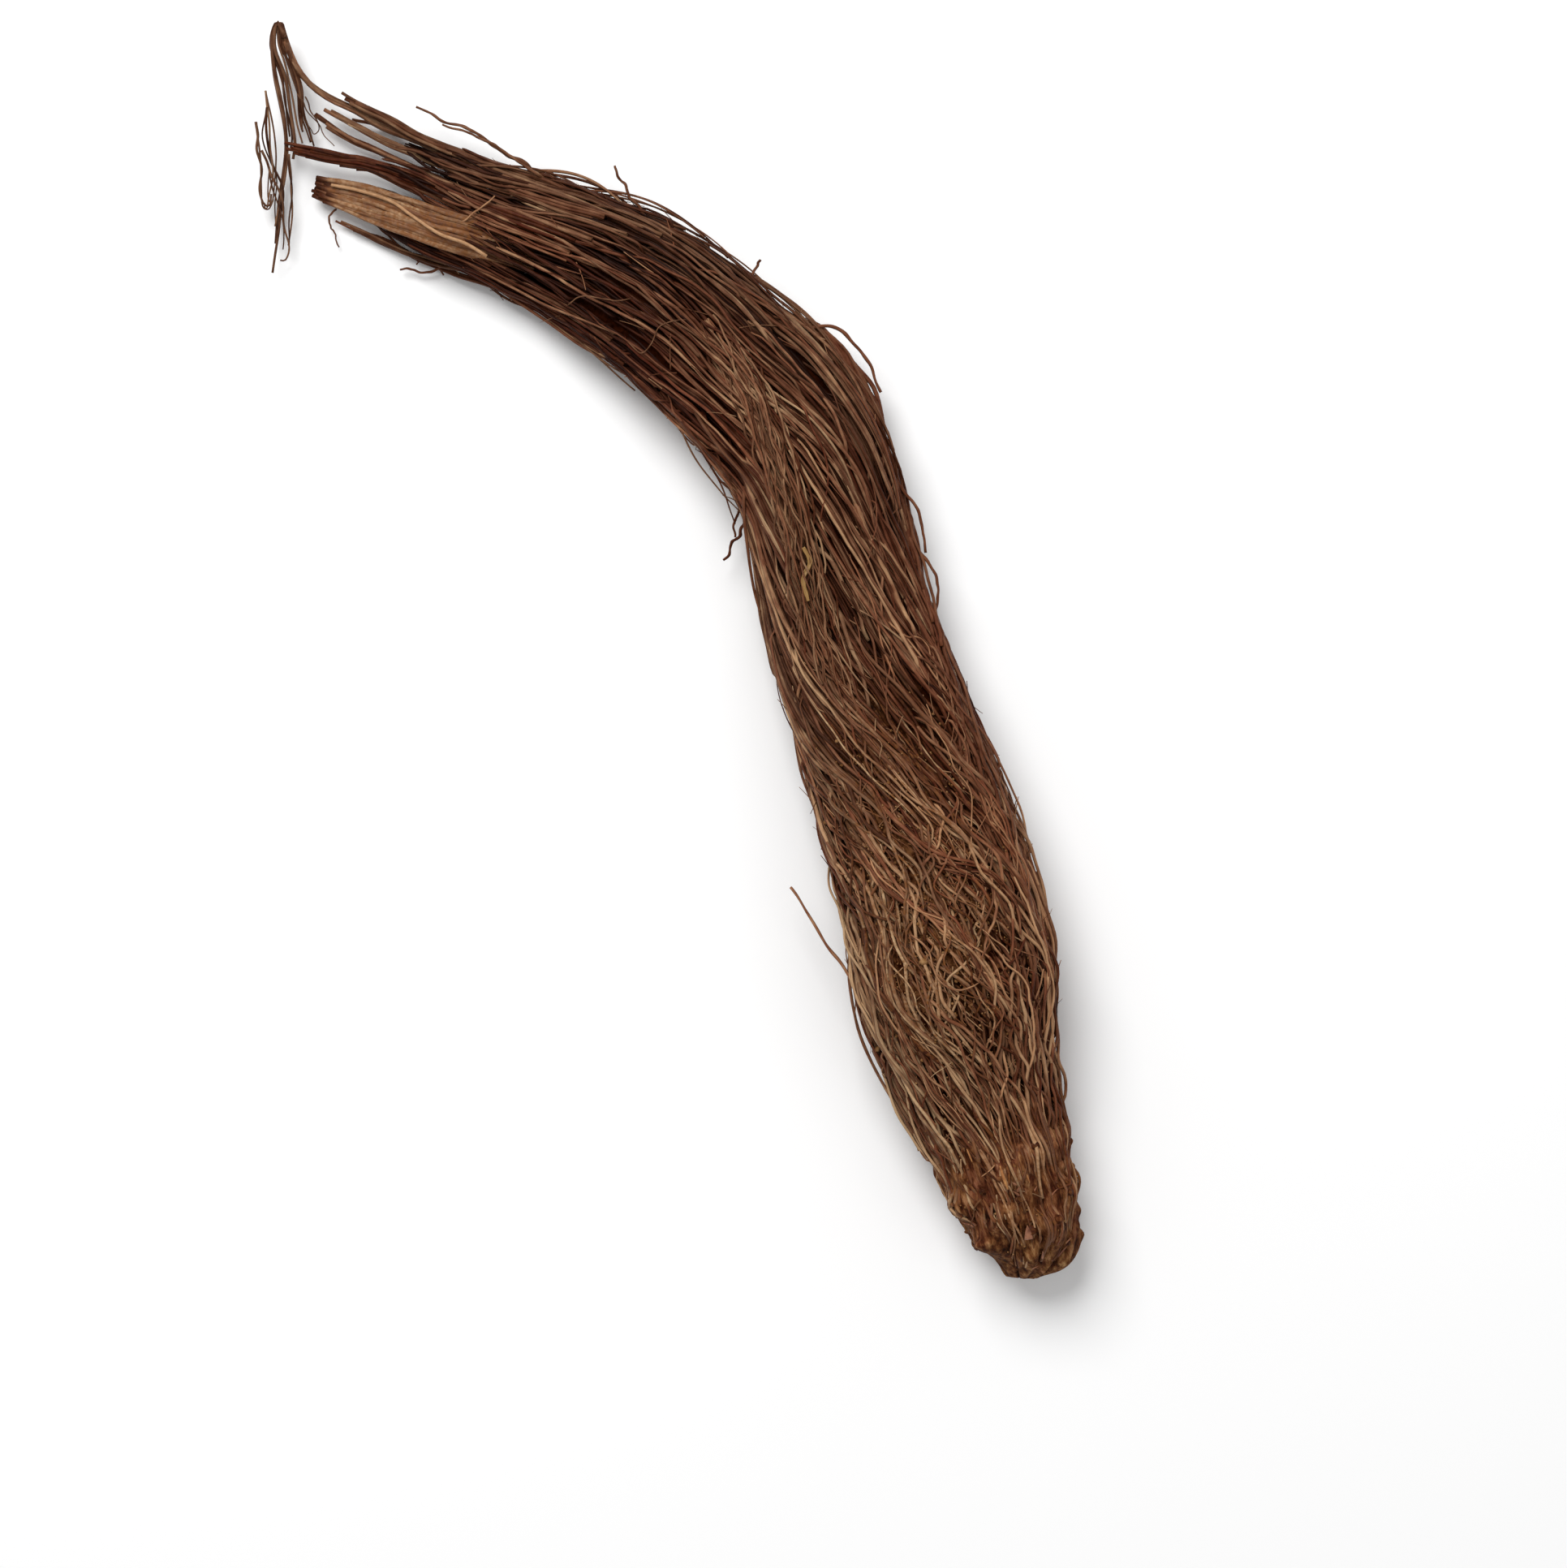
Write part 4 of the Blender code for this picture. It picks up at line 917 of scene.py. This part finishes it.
# The fine fuzz
# Hair roots and broken tips stand up to two and a half millimetres off the sheaf, along its edges
# and on top of it, as far as the rhizome. They are 0.14 to 0.4 mm thick and thin out to their tips.
FUZZ = 260
FUZZ_RINGS = 9
FUZZ_SIDES = 4

s = np.linspace(0, 1, FUZZ_RINGS)
start = rng.uniform(0.04, 0.86, (FUZZ, 1))
reach = rng.uniform(0.008, 0.034, (FUZZ, 1)) * rng.choice([-1, 1], (FUZZ, 1), p=[0.75, 0.25])
u = start + reach * s
edges = rng.choice([0.0, math.pi, math.pi / 2], (FUZZ, 1), p=[0.4, 0.35, 0.25])
angle = edges + rng.normal(0, 0.45, (FUZZ, 1)) + rng.normal(0, 0.25, (FUZZ, 1)) * s
lift = MM * (-0.6 + rng.uniform(0.8, 3.0, (FUZZ, 1)) * s ** 1.5)
radius = rng.uniform(0.07, 0.20, (FUZZ, 1)) * MM * (1 - 0.6 * s)
path, out = on_sheaf(u, angle, lift * np.clip(section_at(u)[3] / (8 * MM), 0.3, 1), 1.0, radius)
rootlet_piece("fine_fuzz", path, radius, out, bark, rng.normal(0.24, 0.14, (FUZZ, 1)),
              np.clip(rng.normal(0.45, 0.3, (FUZZ, 1)), 0, 1), 0.1, FUZZ_SIDES)


# The rhizome
# The rhizome is the short thick stem that the rootlets grew from. Dried, it is a knobbly lump of
# clay brown with ochre soil in its folds. Rootlet bases run into it and its tip is blunt.
RHIZOME_SIZE = (136, 200)
SMALL_KNOBS = 260
FIBRES = 520
FIBRE_STRETCH = 6.0
# The last ring stops this share of the sheaf's length short of the tip, which the fan closes.
TIP_GAP = 0.0004
# The skin lies this far inside the rhizome's section and shows this share of the knobs' height.
SKIN_DEPTH = 0.3 * MM
KNOBS_SHOWN = 0.7


def scattered(count, least, greatest, spread):
    """Place, direction, radius and height of many small bells strewn over the rhizome, the last
    two from values in millimetres. Heights below zero are pits."""
    return np.column_stack([rng.uniform(0.86, 1.0, count), rng.uniform(0, 2 * math.pi, count),
                            rng.uniform(least, greatest, count) * MM,
                            rng.normal(0.05, spread, count) * MM])


tip_rows = RHIZOME_SIZE[0] // 2
tip = np.sin(np.linspace(0, math.pi / 2, tip_rows)) * (RHIZOME_ENDS - RHIZOME_CLOSES - TIP_GAP)
body = np.linspace(RHIZOME_FROM, RHIZOME_CLOSES, RHIZOME_SIZE[0] - tip_rows, endpoint=False)
rhizome_u = np.concatenate([body, RHIZOME_CLOSES + tip])
turn = np.linspace(0, 2 * math.pi, RHIZOME_SIZE[1], endpoint=False)
u, angle = np.meshgrid(rhizome_u, turn, indexing="ij")
relief = knob_lift(u, angle, rhizome_knobs)
fine = knob_lift(u, angle, scattered(SMALL_KNOBS, 0.5, 1.3, 0.45))
fine = fine + knob_lift(u, angle, scattered(FIBRES, 0.3, 0.60, 0.36), FIBRE_STRETCH)
lobes = 0.06 * np.sin(3 * angle + 0.6) + 0.05 * np.sin(5 * angle + 2.4) + 0.03 * np.sin(9 * angle)
closing = rhizome_share(u) * (1 + lobes * smooth_step((u - 0.94) / 0.03))
fade = smooth_step(closing / 0.6)
lift = (KNOBS_SHOWN * relief + fine - SKIN_DEPTH) * fade
points = on_sheaf(u, angle, lift, closing, 0.2 * MM)[0]

# Rhizome skin: wrinkled dried cork, clay brown and dark in its folds, streaked lengthwise by the
# rootlets that are matted into it, and ochre where the bed's clay clings to its tip.
RHIZOME_AXIS = math.radians(-74)
STREAK = 3.5

cork, tree, shader = new_material("dried_rhizome_cork", 0.8, 0.08)
place = add(tree, "ShaderNodeTexCoord").outputs["Object"]
turned_and_stretched = {"Rotation": (0, 0, RHIZOME_AXIS), "Scale": (STREAK, 1, 1)}
lengthwise = add(tree, "ShaderNodeMapping", turned_and_stretched, {"Vector": place},
                 vector_type="TEXTURE").outputs[0]
folds = noise(tree, lengthwise, 950.0, 4.0, 0.65)
dust = noise(tree, place, 1500.0, 2.0)
shade = plus(tree, folds, stored(tree, "tone"))
skin = ramp(tree, shade, (0.34, "#1c0700"), (0.50, "#4a230e"), (0.64, "#734728"), (0.84, "#a97c54"))
reddish = ramp(tree, shade, (0.34, "#1e0600"), (0.50, "#4b200f"), (0.64, "#76442d"),
               (0.84, "#a9765a"))
clay = ramp(tree, shade, (0.34, "#261002"), (0.50, "#543016"), (0.64, "#7c5531"), (0.84, "#ae885c"))
patches = ramp(tree, noise(tree, lengthwise, 300.0, 3.0), (0.50, "#000000"), (0.66, "#ffffff"))
spots = ramp(tree, dust, (0.36, "#000000"), (0.60, "#ffffff"))
skins = blend(tree, patches, skin, reddish)
skins = blend(tree, times(tree, spots, stored(tree, "soil")), skins, clay)
bump = add(tree, "ShaderNodeBump", {"Strength": 1.0, "Distance": 0.6 * MM}, {"Height": folds})
finer = add(tree, "ShaderNodeBump", {"Strength": 0.6, "Distance": 0.12 * MM},
            {"Height": dust, "Normal": bump.outputs[0]})
tree.links.new(skins, shader.inputs["Base Color"])
tree.links.new(finer.outputs[0], shader.inputs["Normal"])

# Painted light and shade: the rhizome is painted paler on its knobs and darker in its pits, following
# its relief.
painted_relief_light = np.clip((relief * 0.1 + fine) / MM, -0.9, 0.5) * 0.20
clinging = 0.25 + 0.65 * smooth_step((u - 0.955) / 0.03)
part_of_root(mesh_piece("rhizome", with_ends(points), grid_faces(*RHIZOME_SIZE), cork,
                        tone=np.append(painted_relief_light + 0.02, [0, 0]), soil=np.append(clinging, [0, 1])))


# The rootlet bases
# Short thick bases of broken rootlets lie along the rhizome, half sunk in it, and six stubs of
# thicker roots stand off it where they were trimmed.
BASES = 230
BASE_RINGS = 14
STUBS = (
    # place, direction in degrees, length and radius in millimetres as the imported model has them
    (0.905, 62, 1.6, 1.1), (0.925, 118, 1.8, 1.2), (0.945, 36, 1.4, 1.1), (0.962, 84, 1.8, 1.4),
    (0.968, 152, 1.6, 1.2), (0.975, 28, 1.4, 1.1),
)
# The stubs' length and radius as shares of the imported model's.
STUB_LENGTH_SHARE, STUB_RADIUS_SHARE = 0.65, 0.72
STUB_SIDES = 10

s = np.linspace(0, 1, BASE_RINGS)
start = rng.uniform(0.885, 0.985, (BASES, 1))
u = start - rng.uniform(0.010, 0.040, (BASES, 1)) * s
angle = rng.uniform(0, 2 * math.pi, (BASES, 1)) + rng.normal(0, 0.16, (BASES, 1)) * s
lift = knob_lift(u, angle, rhizome_knobs) - 1.0 * MM + rng.uniform(-0.2, 0.35, (BASES, 1)) * MM
lift = lift + 0.5 * MM * np.sin(math.pi * s)
radius = rng.uniform(0.14, 0.38, (BASES, 1)) * MM * (1.15 - 0.5 * s)
path, out = on_sheaf(u, angle, lift, rhizome_share(u), radius)
rootlet_piece("rootlet_bases", path, radius, out, bark, rng.normal(0.17, 0.13, (BASES, 1)),
              np.clip(rng.normal(0.3, 0.25, (BASES, 1)), 0, 1),
              rng.uniform(0.2, 0.9, (BASES, 1)))

stub_u, stub_angle, stub_length, stub_radius = np.array(STUBS).T[..., None]
u = stub_u + 0 * s
angle = np.radians(stub_angle) + 0 * s
lift = knob_lift(u, angle, rhizome_knobs) + MM * (stub_length * STUB_LENGTH_SHARE * s - 1.0)
path, out = on_sheaf(u, angle, lift, rhizome_share(u), 0.5 * MM)
uneven = 1 + 0.12 * np.sin(13 * s + 9 * stub_angle)
radius = STUB_RADIUS_SHARE * stub_radius * MM * (1 - 0.25 * s) * uneven
along_spine = np.cross(out, UP) + 1e-3
rootlet_piece("root_stubs", path, radius, along_spine, bark, -0.06, 0.4, 0.5, STUB_SIDES)


# Bud scales and splinters
# Thin dry scales of last year's buds cling round the tip, pinkish brown. The first is the largest
# and stands up clear of the rest. Orange splinters of broken rhizome lie among them.
SCALES = 16
SCALE_SIZE = (9, 6)
SCALE_THICKNESS = 0.12 * MM
# The first scale's place, direction round the spine and length, and how far it stands up.
FIRST_SCALE = (0.968, 1.55, 3.4 * MM)
FIRST_SCALE_STANDS = 0.7 * MM


def mottled(name, roughness, specular, scale, detail, *stops):
    """A material whose colour a noise in the object's own space picks from stops."""
    material, tree, shader = new_material(name, roughness, specular)
    place = add(tree, "ShaderNodeTexCoord").outputs["Object"]
    tint = ramp(tree, noise(tree, place, scale, detail), *stops)
    tree.links.new(tint, shader.inputs["Base Color"])
    return material


s, across = np.meshgrid(np.linspace(0, 1, SCALE_SIZE[0]), np.linspace(-1, 1, SCALE_SIZE[1]),
                        indexing="ij")
scale_u = rng.uniform(0.925, 0.995, (SCALES, 1, 1))
scale_angle = rng.uniform(0.45, math.pi - 0.45, (SCALES, 1, 1))
length = rng.uniform(0.9, 1.7, (SCALES, 1, 1)) * MM
scale_u[0], scale_angle[0], length[0] = FIRST_SCALE
half = length * rng.uniform(0.14, 0.22, (SCALES, 1, 1)) * (1 - s**1.6) * across
u = scale_u - s * length / SHEAF_LENGTH * np.cos(rng.uniform(-0.7, 0.7, (SCALES, 1, 1)))
angle = scale_angle + half / (8 * MM) + rng.uniform(-0.1, 0.1, (SCALES, 1, 1)) * s
lift = knob_lift(u, angle, rhizome_knobs) + MM * (-0.2 + 0.9 * s**1.5 - 0.25 * across**2)
lift[0] += FIRST_SCALE_STANDS
top = on_sheaf(u, angle, lift, rhizome_share(u), 0.2 * MM)[0]
under = on_sheaf(u, angle, lift - SCALE_THICKNESS, rhizome_share(u), 0.1 * MM)[0]

# Dried bud scale: thin papery leaf base, pinkish brown, slightly glossy.
papery = mottled("dried_bud_scale", 0.5, 0.4, 700.0, 3.0, (0.3, "#6b3822"), (0.7, "#b57a58"))

rows, columns = SCALE_SIZE
i, j = np.meshgrid(np.arange(rows - 1), np.arange(columns - 1), indexing="ij")
a = i * columns + j
quads = np.stack([a, a + columns, a + columns + 1, a + 1], -1).reshape(-1, 4)
rim = np.concatenate([np.arange(columns), np.arange(1, rows) * columns + columns - 1,
                      (rows - 1) * columns + np.arange(columns - 2, -1, -1),
                      np.arange(rows - 2, 0, -1) * columns])
beyond = np.roll(rim, -1)
per = rows * columns
walls = np.stack([rim, beyond, beyond + per, rim + per], -1)
one = np.vstack([quads, quads[:, ::-1] + per, walls])
faces = (one[None] + (np.arange(SCALES) * 2 * per)[:, None, None]).reshape(-1, 4)
points = np.stack([top.reshape(SCALES, per, 3), under.reshape(SCALES, per, 3)], 1).reshape(-1, 3)
part_of_root(mesh_piece("bud_scales", points, [faces], papery))

# Fresh break: the splinter's torn wood, bright orange brown.
broken = mottled("fresh_broken_root", 0.6, 0.3, 900.0, 2.0, (0.3, "#8a5128"), (0.7, "#bf8750"))
SPLINTERS_MM = (
    # radius, and points seen from above
    (0.34, ((61.2, -94.4), (61.9, -96.6), (62.7, -98.8))),
    (0.18, ((55.2, -91.4), (55.7, -92.6), (56.2, -93.8))),
    (0.18, ((66.0, -95.6), (66.3, -96.6), (66.7, -97.6))),
)
path = np.stack([evenly(resting(points, 1.3), BASE_RINGS) for _, points in SPLINTERS_MM])
thick = np.array([[row[0]] for row in SPLINTERS_MM]) * MM
radius = thick * np.sqrt(np.sin(np.linspace(0.12, math.pi - 0.12, BASE_RINGS)))
rootlet_piece("splinters", path, radius, np.broadcast_to(UP, path.shape), broken, 0.5, 0.3, 0)


# The soil
# Gritty ochre crumbs of the bed the root grew in are caught on the belly and round the rhizome.
# Each is an uneven lump a third of a millimetre across, of twenty faces.
CRUMBS = 2000

golden = (1 + math.sqrt(5)) / 2
lump = np.array([(-1, golden, 0), (1, golden, 0), (-1, -golden, 0), (1, -golden, 0),
                 (0, -1, golden), (0, 1, golden), (0, -1, -golden), (0, 1, -golden),
                 (golden, 0, -1), (golden, 0, 1), (-golden, 0, -1), (-golden, 0, 1)]) / 1.9
lump_faces = np.array([(0, 11, 5), (0, 5, 1), (0, 1, 7), (0, 7, 10), (0, 10, 11), (1, 5, 9),
                       (5, 11, 4), (11, 10, 2), (10, 7, 6), (7, 1, 8), (3, 9, 4), (3, 4, 2),
                       (3, 2, 6), (3, 6, 8), (3, 8, 9), (4, 9, 5), (2, 4, 11), (6, 2, 10),
                       (8, 6, 7), (9, 8, 1)])
on_belly = rng.random(CRUMBS) < 0.72
u = np.where(on_belly, rng.normal(0.735, 0.07, CRUMBS), rng.uniform(0.60, 0.985, CRUMBS))
u = np.clip(u, 0.45, 0.985)
angle = np.where(on_belly, rng.normal(1.75, 0.55, CRUMBS), rng.uniform(-0.3, math.pi + 0.3, CRUMBS))
lift = np.where(u > 0.87, rng.uniform(-0.9, -0.3, CRUMBS), rng.uniform(-1.2, 0.4, CRUMBS)) * MM
lift = lift + knob_lift(u, angle, rhizome_knobs)
share = np.where(u > 0.93, rhizome_share(u), 1.0)
middle = on_sheaf(u, angle, lift, share, 0.3 * MM)[0]
size = rng.lognormal(math.log(0.19), 0.42, (CRUMBS, 1, 1)) * MM
points = middle[:, None] + lump * size * rng.uniform(0.6, 1.2, (CRUMBS, 12, 3))
faces = (lump_faces[None] + (np.arange(CRUMBS) * 12)[:, None, None]).reshape(-1, 3)

# Dry garden soil: gritty, matt, ochre to grey brown from crumb to crumb.
earth = mottled("dry_garden_soil", 0.95, 0.1, 800.0, 3.0, (0.3, "#4c2f19"), (0.5, "#7b5430"),
                (0.75, "#a68058"))
part_of_root(mesh_piece("soil_crumbs", points.reshape(-1, 3), [faces], earth))


# The scrap of grass
# A dry blade of grass, creased along its middle and bent twice, is caught on top of the sheaf.
GRASS_MM = ((25.4, 18.2, 22.9), (26.6, 15.4, 22.9), (25.4, 12.4, 23.0), (26.3, 8.4, 23.1))
GRASS_RINGS = 48
GRASS_HALF_WIDTH = 0.40 * MM
GRASS_HALF_THICKNESS = 0.10 * MM
GRASS_CREASE = 0.30 * MM
# The blade's width goes in and out by this share, at this many radians along it.
GRASS_UNEVEN, GRASS_RIPPLES = 0.12, 31

# Dry straw: bleached grass, pale ochre with finer darker veins along it, satin.
straw_skin, tree, shader = new_material("bleached_dry_straw", 0.5, 0.4)
place = add(tree, "ShaderNodeTexCoord").outputs["UV"]
stretched = add(tree, "ShaderNodeMapping", {"Scale": (3.0, 14.0, 1.0)}, {"Vector": place})
veins = noise(tree, stretched.outputs[0], 1.0, 2.0)
tint = ramp(tree, veins, (0.3, "#5e4020"), (0.5, "#8c6732"), (0.75, "#b48e54"))
tree.links.new(tint, shader.inputs["Base Color"])

path = evenly(np.array(GRASS_MM) * MM, GRASS_RINGS)
side = heading_and_side(path)[1]
s = np.linspace(0, 1, GRASS_RINGS)
width = GRASS_HALF_WIDTH * (0.75 + 0.25 * np.sin(math.pi * s))
width = width * (1 + GRASS_UNEVEN * np.sin(GRASS_RIPPLES * s))
profile = np.array([(1.0, 0.0), (0.5, 1.0), (0.0, 1.0), (-0.5, 1.0), (-1.0, 0.0), (-0.5, -1.0),
                    (0.0, -1.0), (0.5, -1.0)])
across = profile[:, 0]
raised = GRASS_HALF_THICKNESS * profile[:, 1] + GRASS_CREASE * (np.abs(across) - 0.5)
points = (path[:, None] + side[:, None] * (width[:, None, None] * across[:, None])
          + UP * raised[:, None])
faces = [part[:, ::-1] for part in grid_faces(GRASS_RINGS, len(profile))]
uv_point = np.stack(np.broadcast_arrays(s[:, None], across), -1).reshape(-1, 2)
uv_point = np.vstack([uv_point, [(0, 0), (1, 0)]])
uv = uv_point[np.concatenate([part.ravel() for part in faces])]
straw = mesh_piece("straw", with_ends(points), faces, straw_skin, uv)
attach(straw, "root")
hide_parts("grass_scrap")


# The table and the light
# A plain pale table under a broad soft light from the upper left, as in a small product studio.
table, tree, shader = new_material("white_table", 0.8, 0.2)
shader.inputs["Base Color"].default_value = linear("#fbfbfb")
TABLE_HALF = 1.5
TABLE_DROP = 0.1 * MM
corners = np.array([(-1, -1, 0), (1, -1, 0), (1, 1, 0), (-1, 1, 0)], float) * TABLE_HALF
corners[:, 2] = -TABLE_DROP
floor = mesh_piece("table", corners, [np.array([[0, 1, 2, 3]])], table)

VIEW_CENTRE = Vector((21.8 * MM, -24.9 * MM, 12 * MM))
LIGHTS = (
    # name, direction from the object, distance, size and power
    ("key", (-0.35, 0.70, 0.95), 1.3, 0.80, 15.0),
    ("fill", (0.6, -0.3, 1.0), 1.5, 1.4, 4.0),
)
ROOM_LIGHT = 0.37
for name, direction, distance, size, power in LIGHTS:
    lamp = bpy.data.lights.new(name, "AREA")
    lamp.shape = "DISK"
    lamp.size = size
    lamp.energy = power
    holder = bpy.data.objects.new(name, lamp)
    holder.location = VIEW_CENTRE + Vector(direction).normalized() * distance
    holder.rotation_euler = Vector(direction).to_track_quat("Z", "Y").to_euler()
    bpy.context.scene.collection.objects.link(holder)

world = bpy.data.worlds.new("studio")
world.use_nodes = True
world.node_tree.nodes["Background"].inputs["Color"].default_value = linear("#ffffff")
world.node_tree.nodes["Background"].inputs["Strength"].default_value = ROOM_LIGHT
bpy.context.scene.world = world
bpy.context.scene.view_settings.view_transform = "Standard"


# The camera
# It looks straight down on the root, and its frame is 0.15 mm to each pixel of the photograph.
PHOTO_WIDTH = 1931
MM_PER_PIXEL = 0.15
CAMERA_HEIGHT = 0.75
lens = bpy.data.cameras.new("camera")
lens.sensor_width = 36.0
half_view = PHOTO_WIDTH * MM_PER_PIXEL * MM / 2
lens.lens = lens.sensor_width / 2 * CAMERA_HEIGHT / half_view
camera = bpy.data.objects.new("camera", lens)
camera.location = VIEW_CENTRE + Vector((0, 0, CAMERA_HEIGHT))
bpy.context.scene.collection.objects.link(camera)
bpy.context.scene.camera = camera
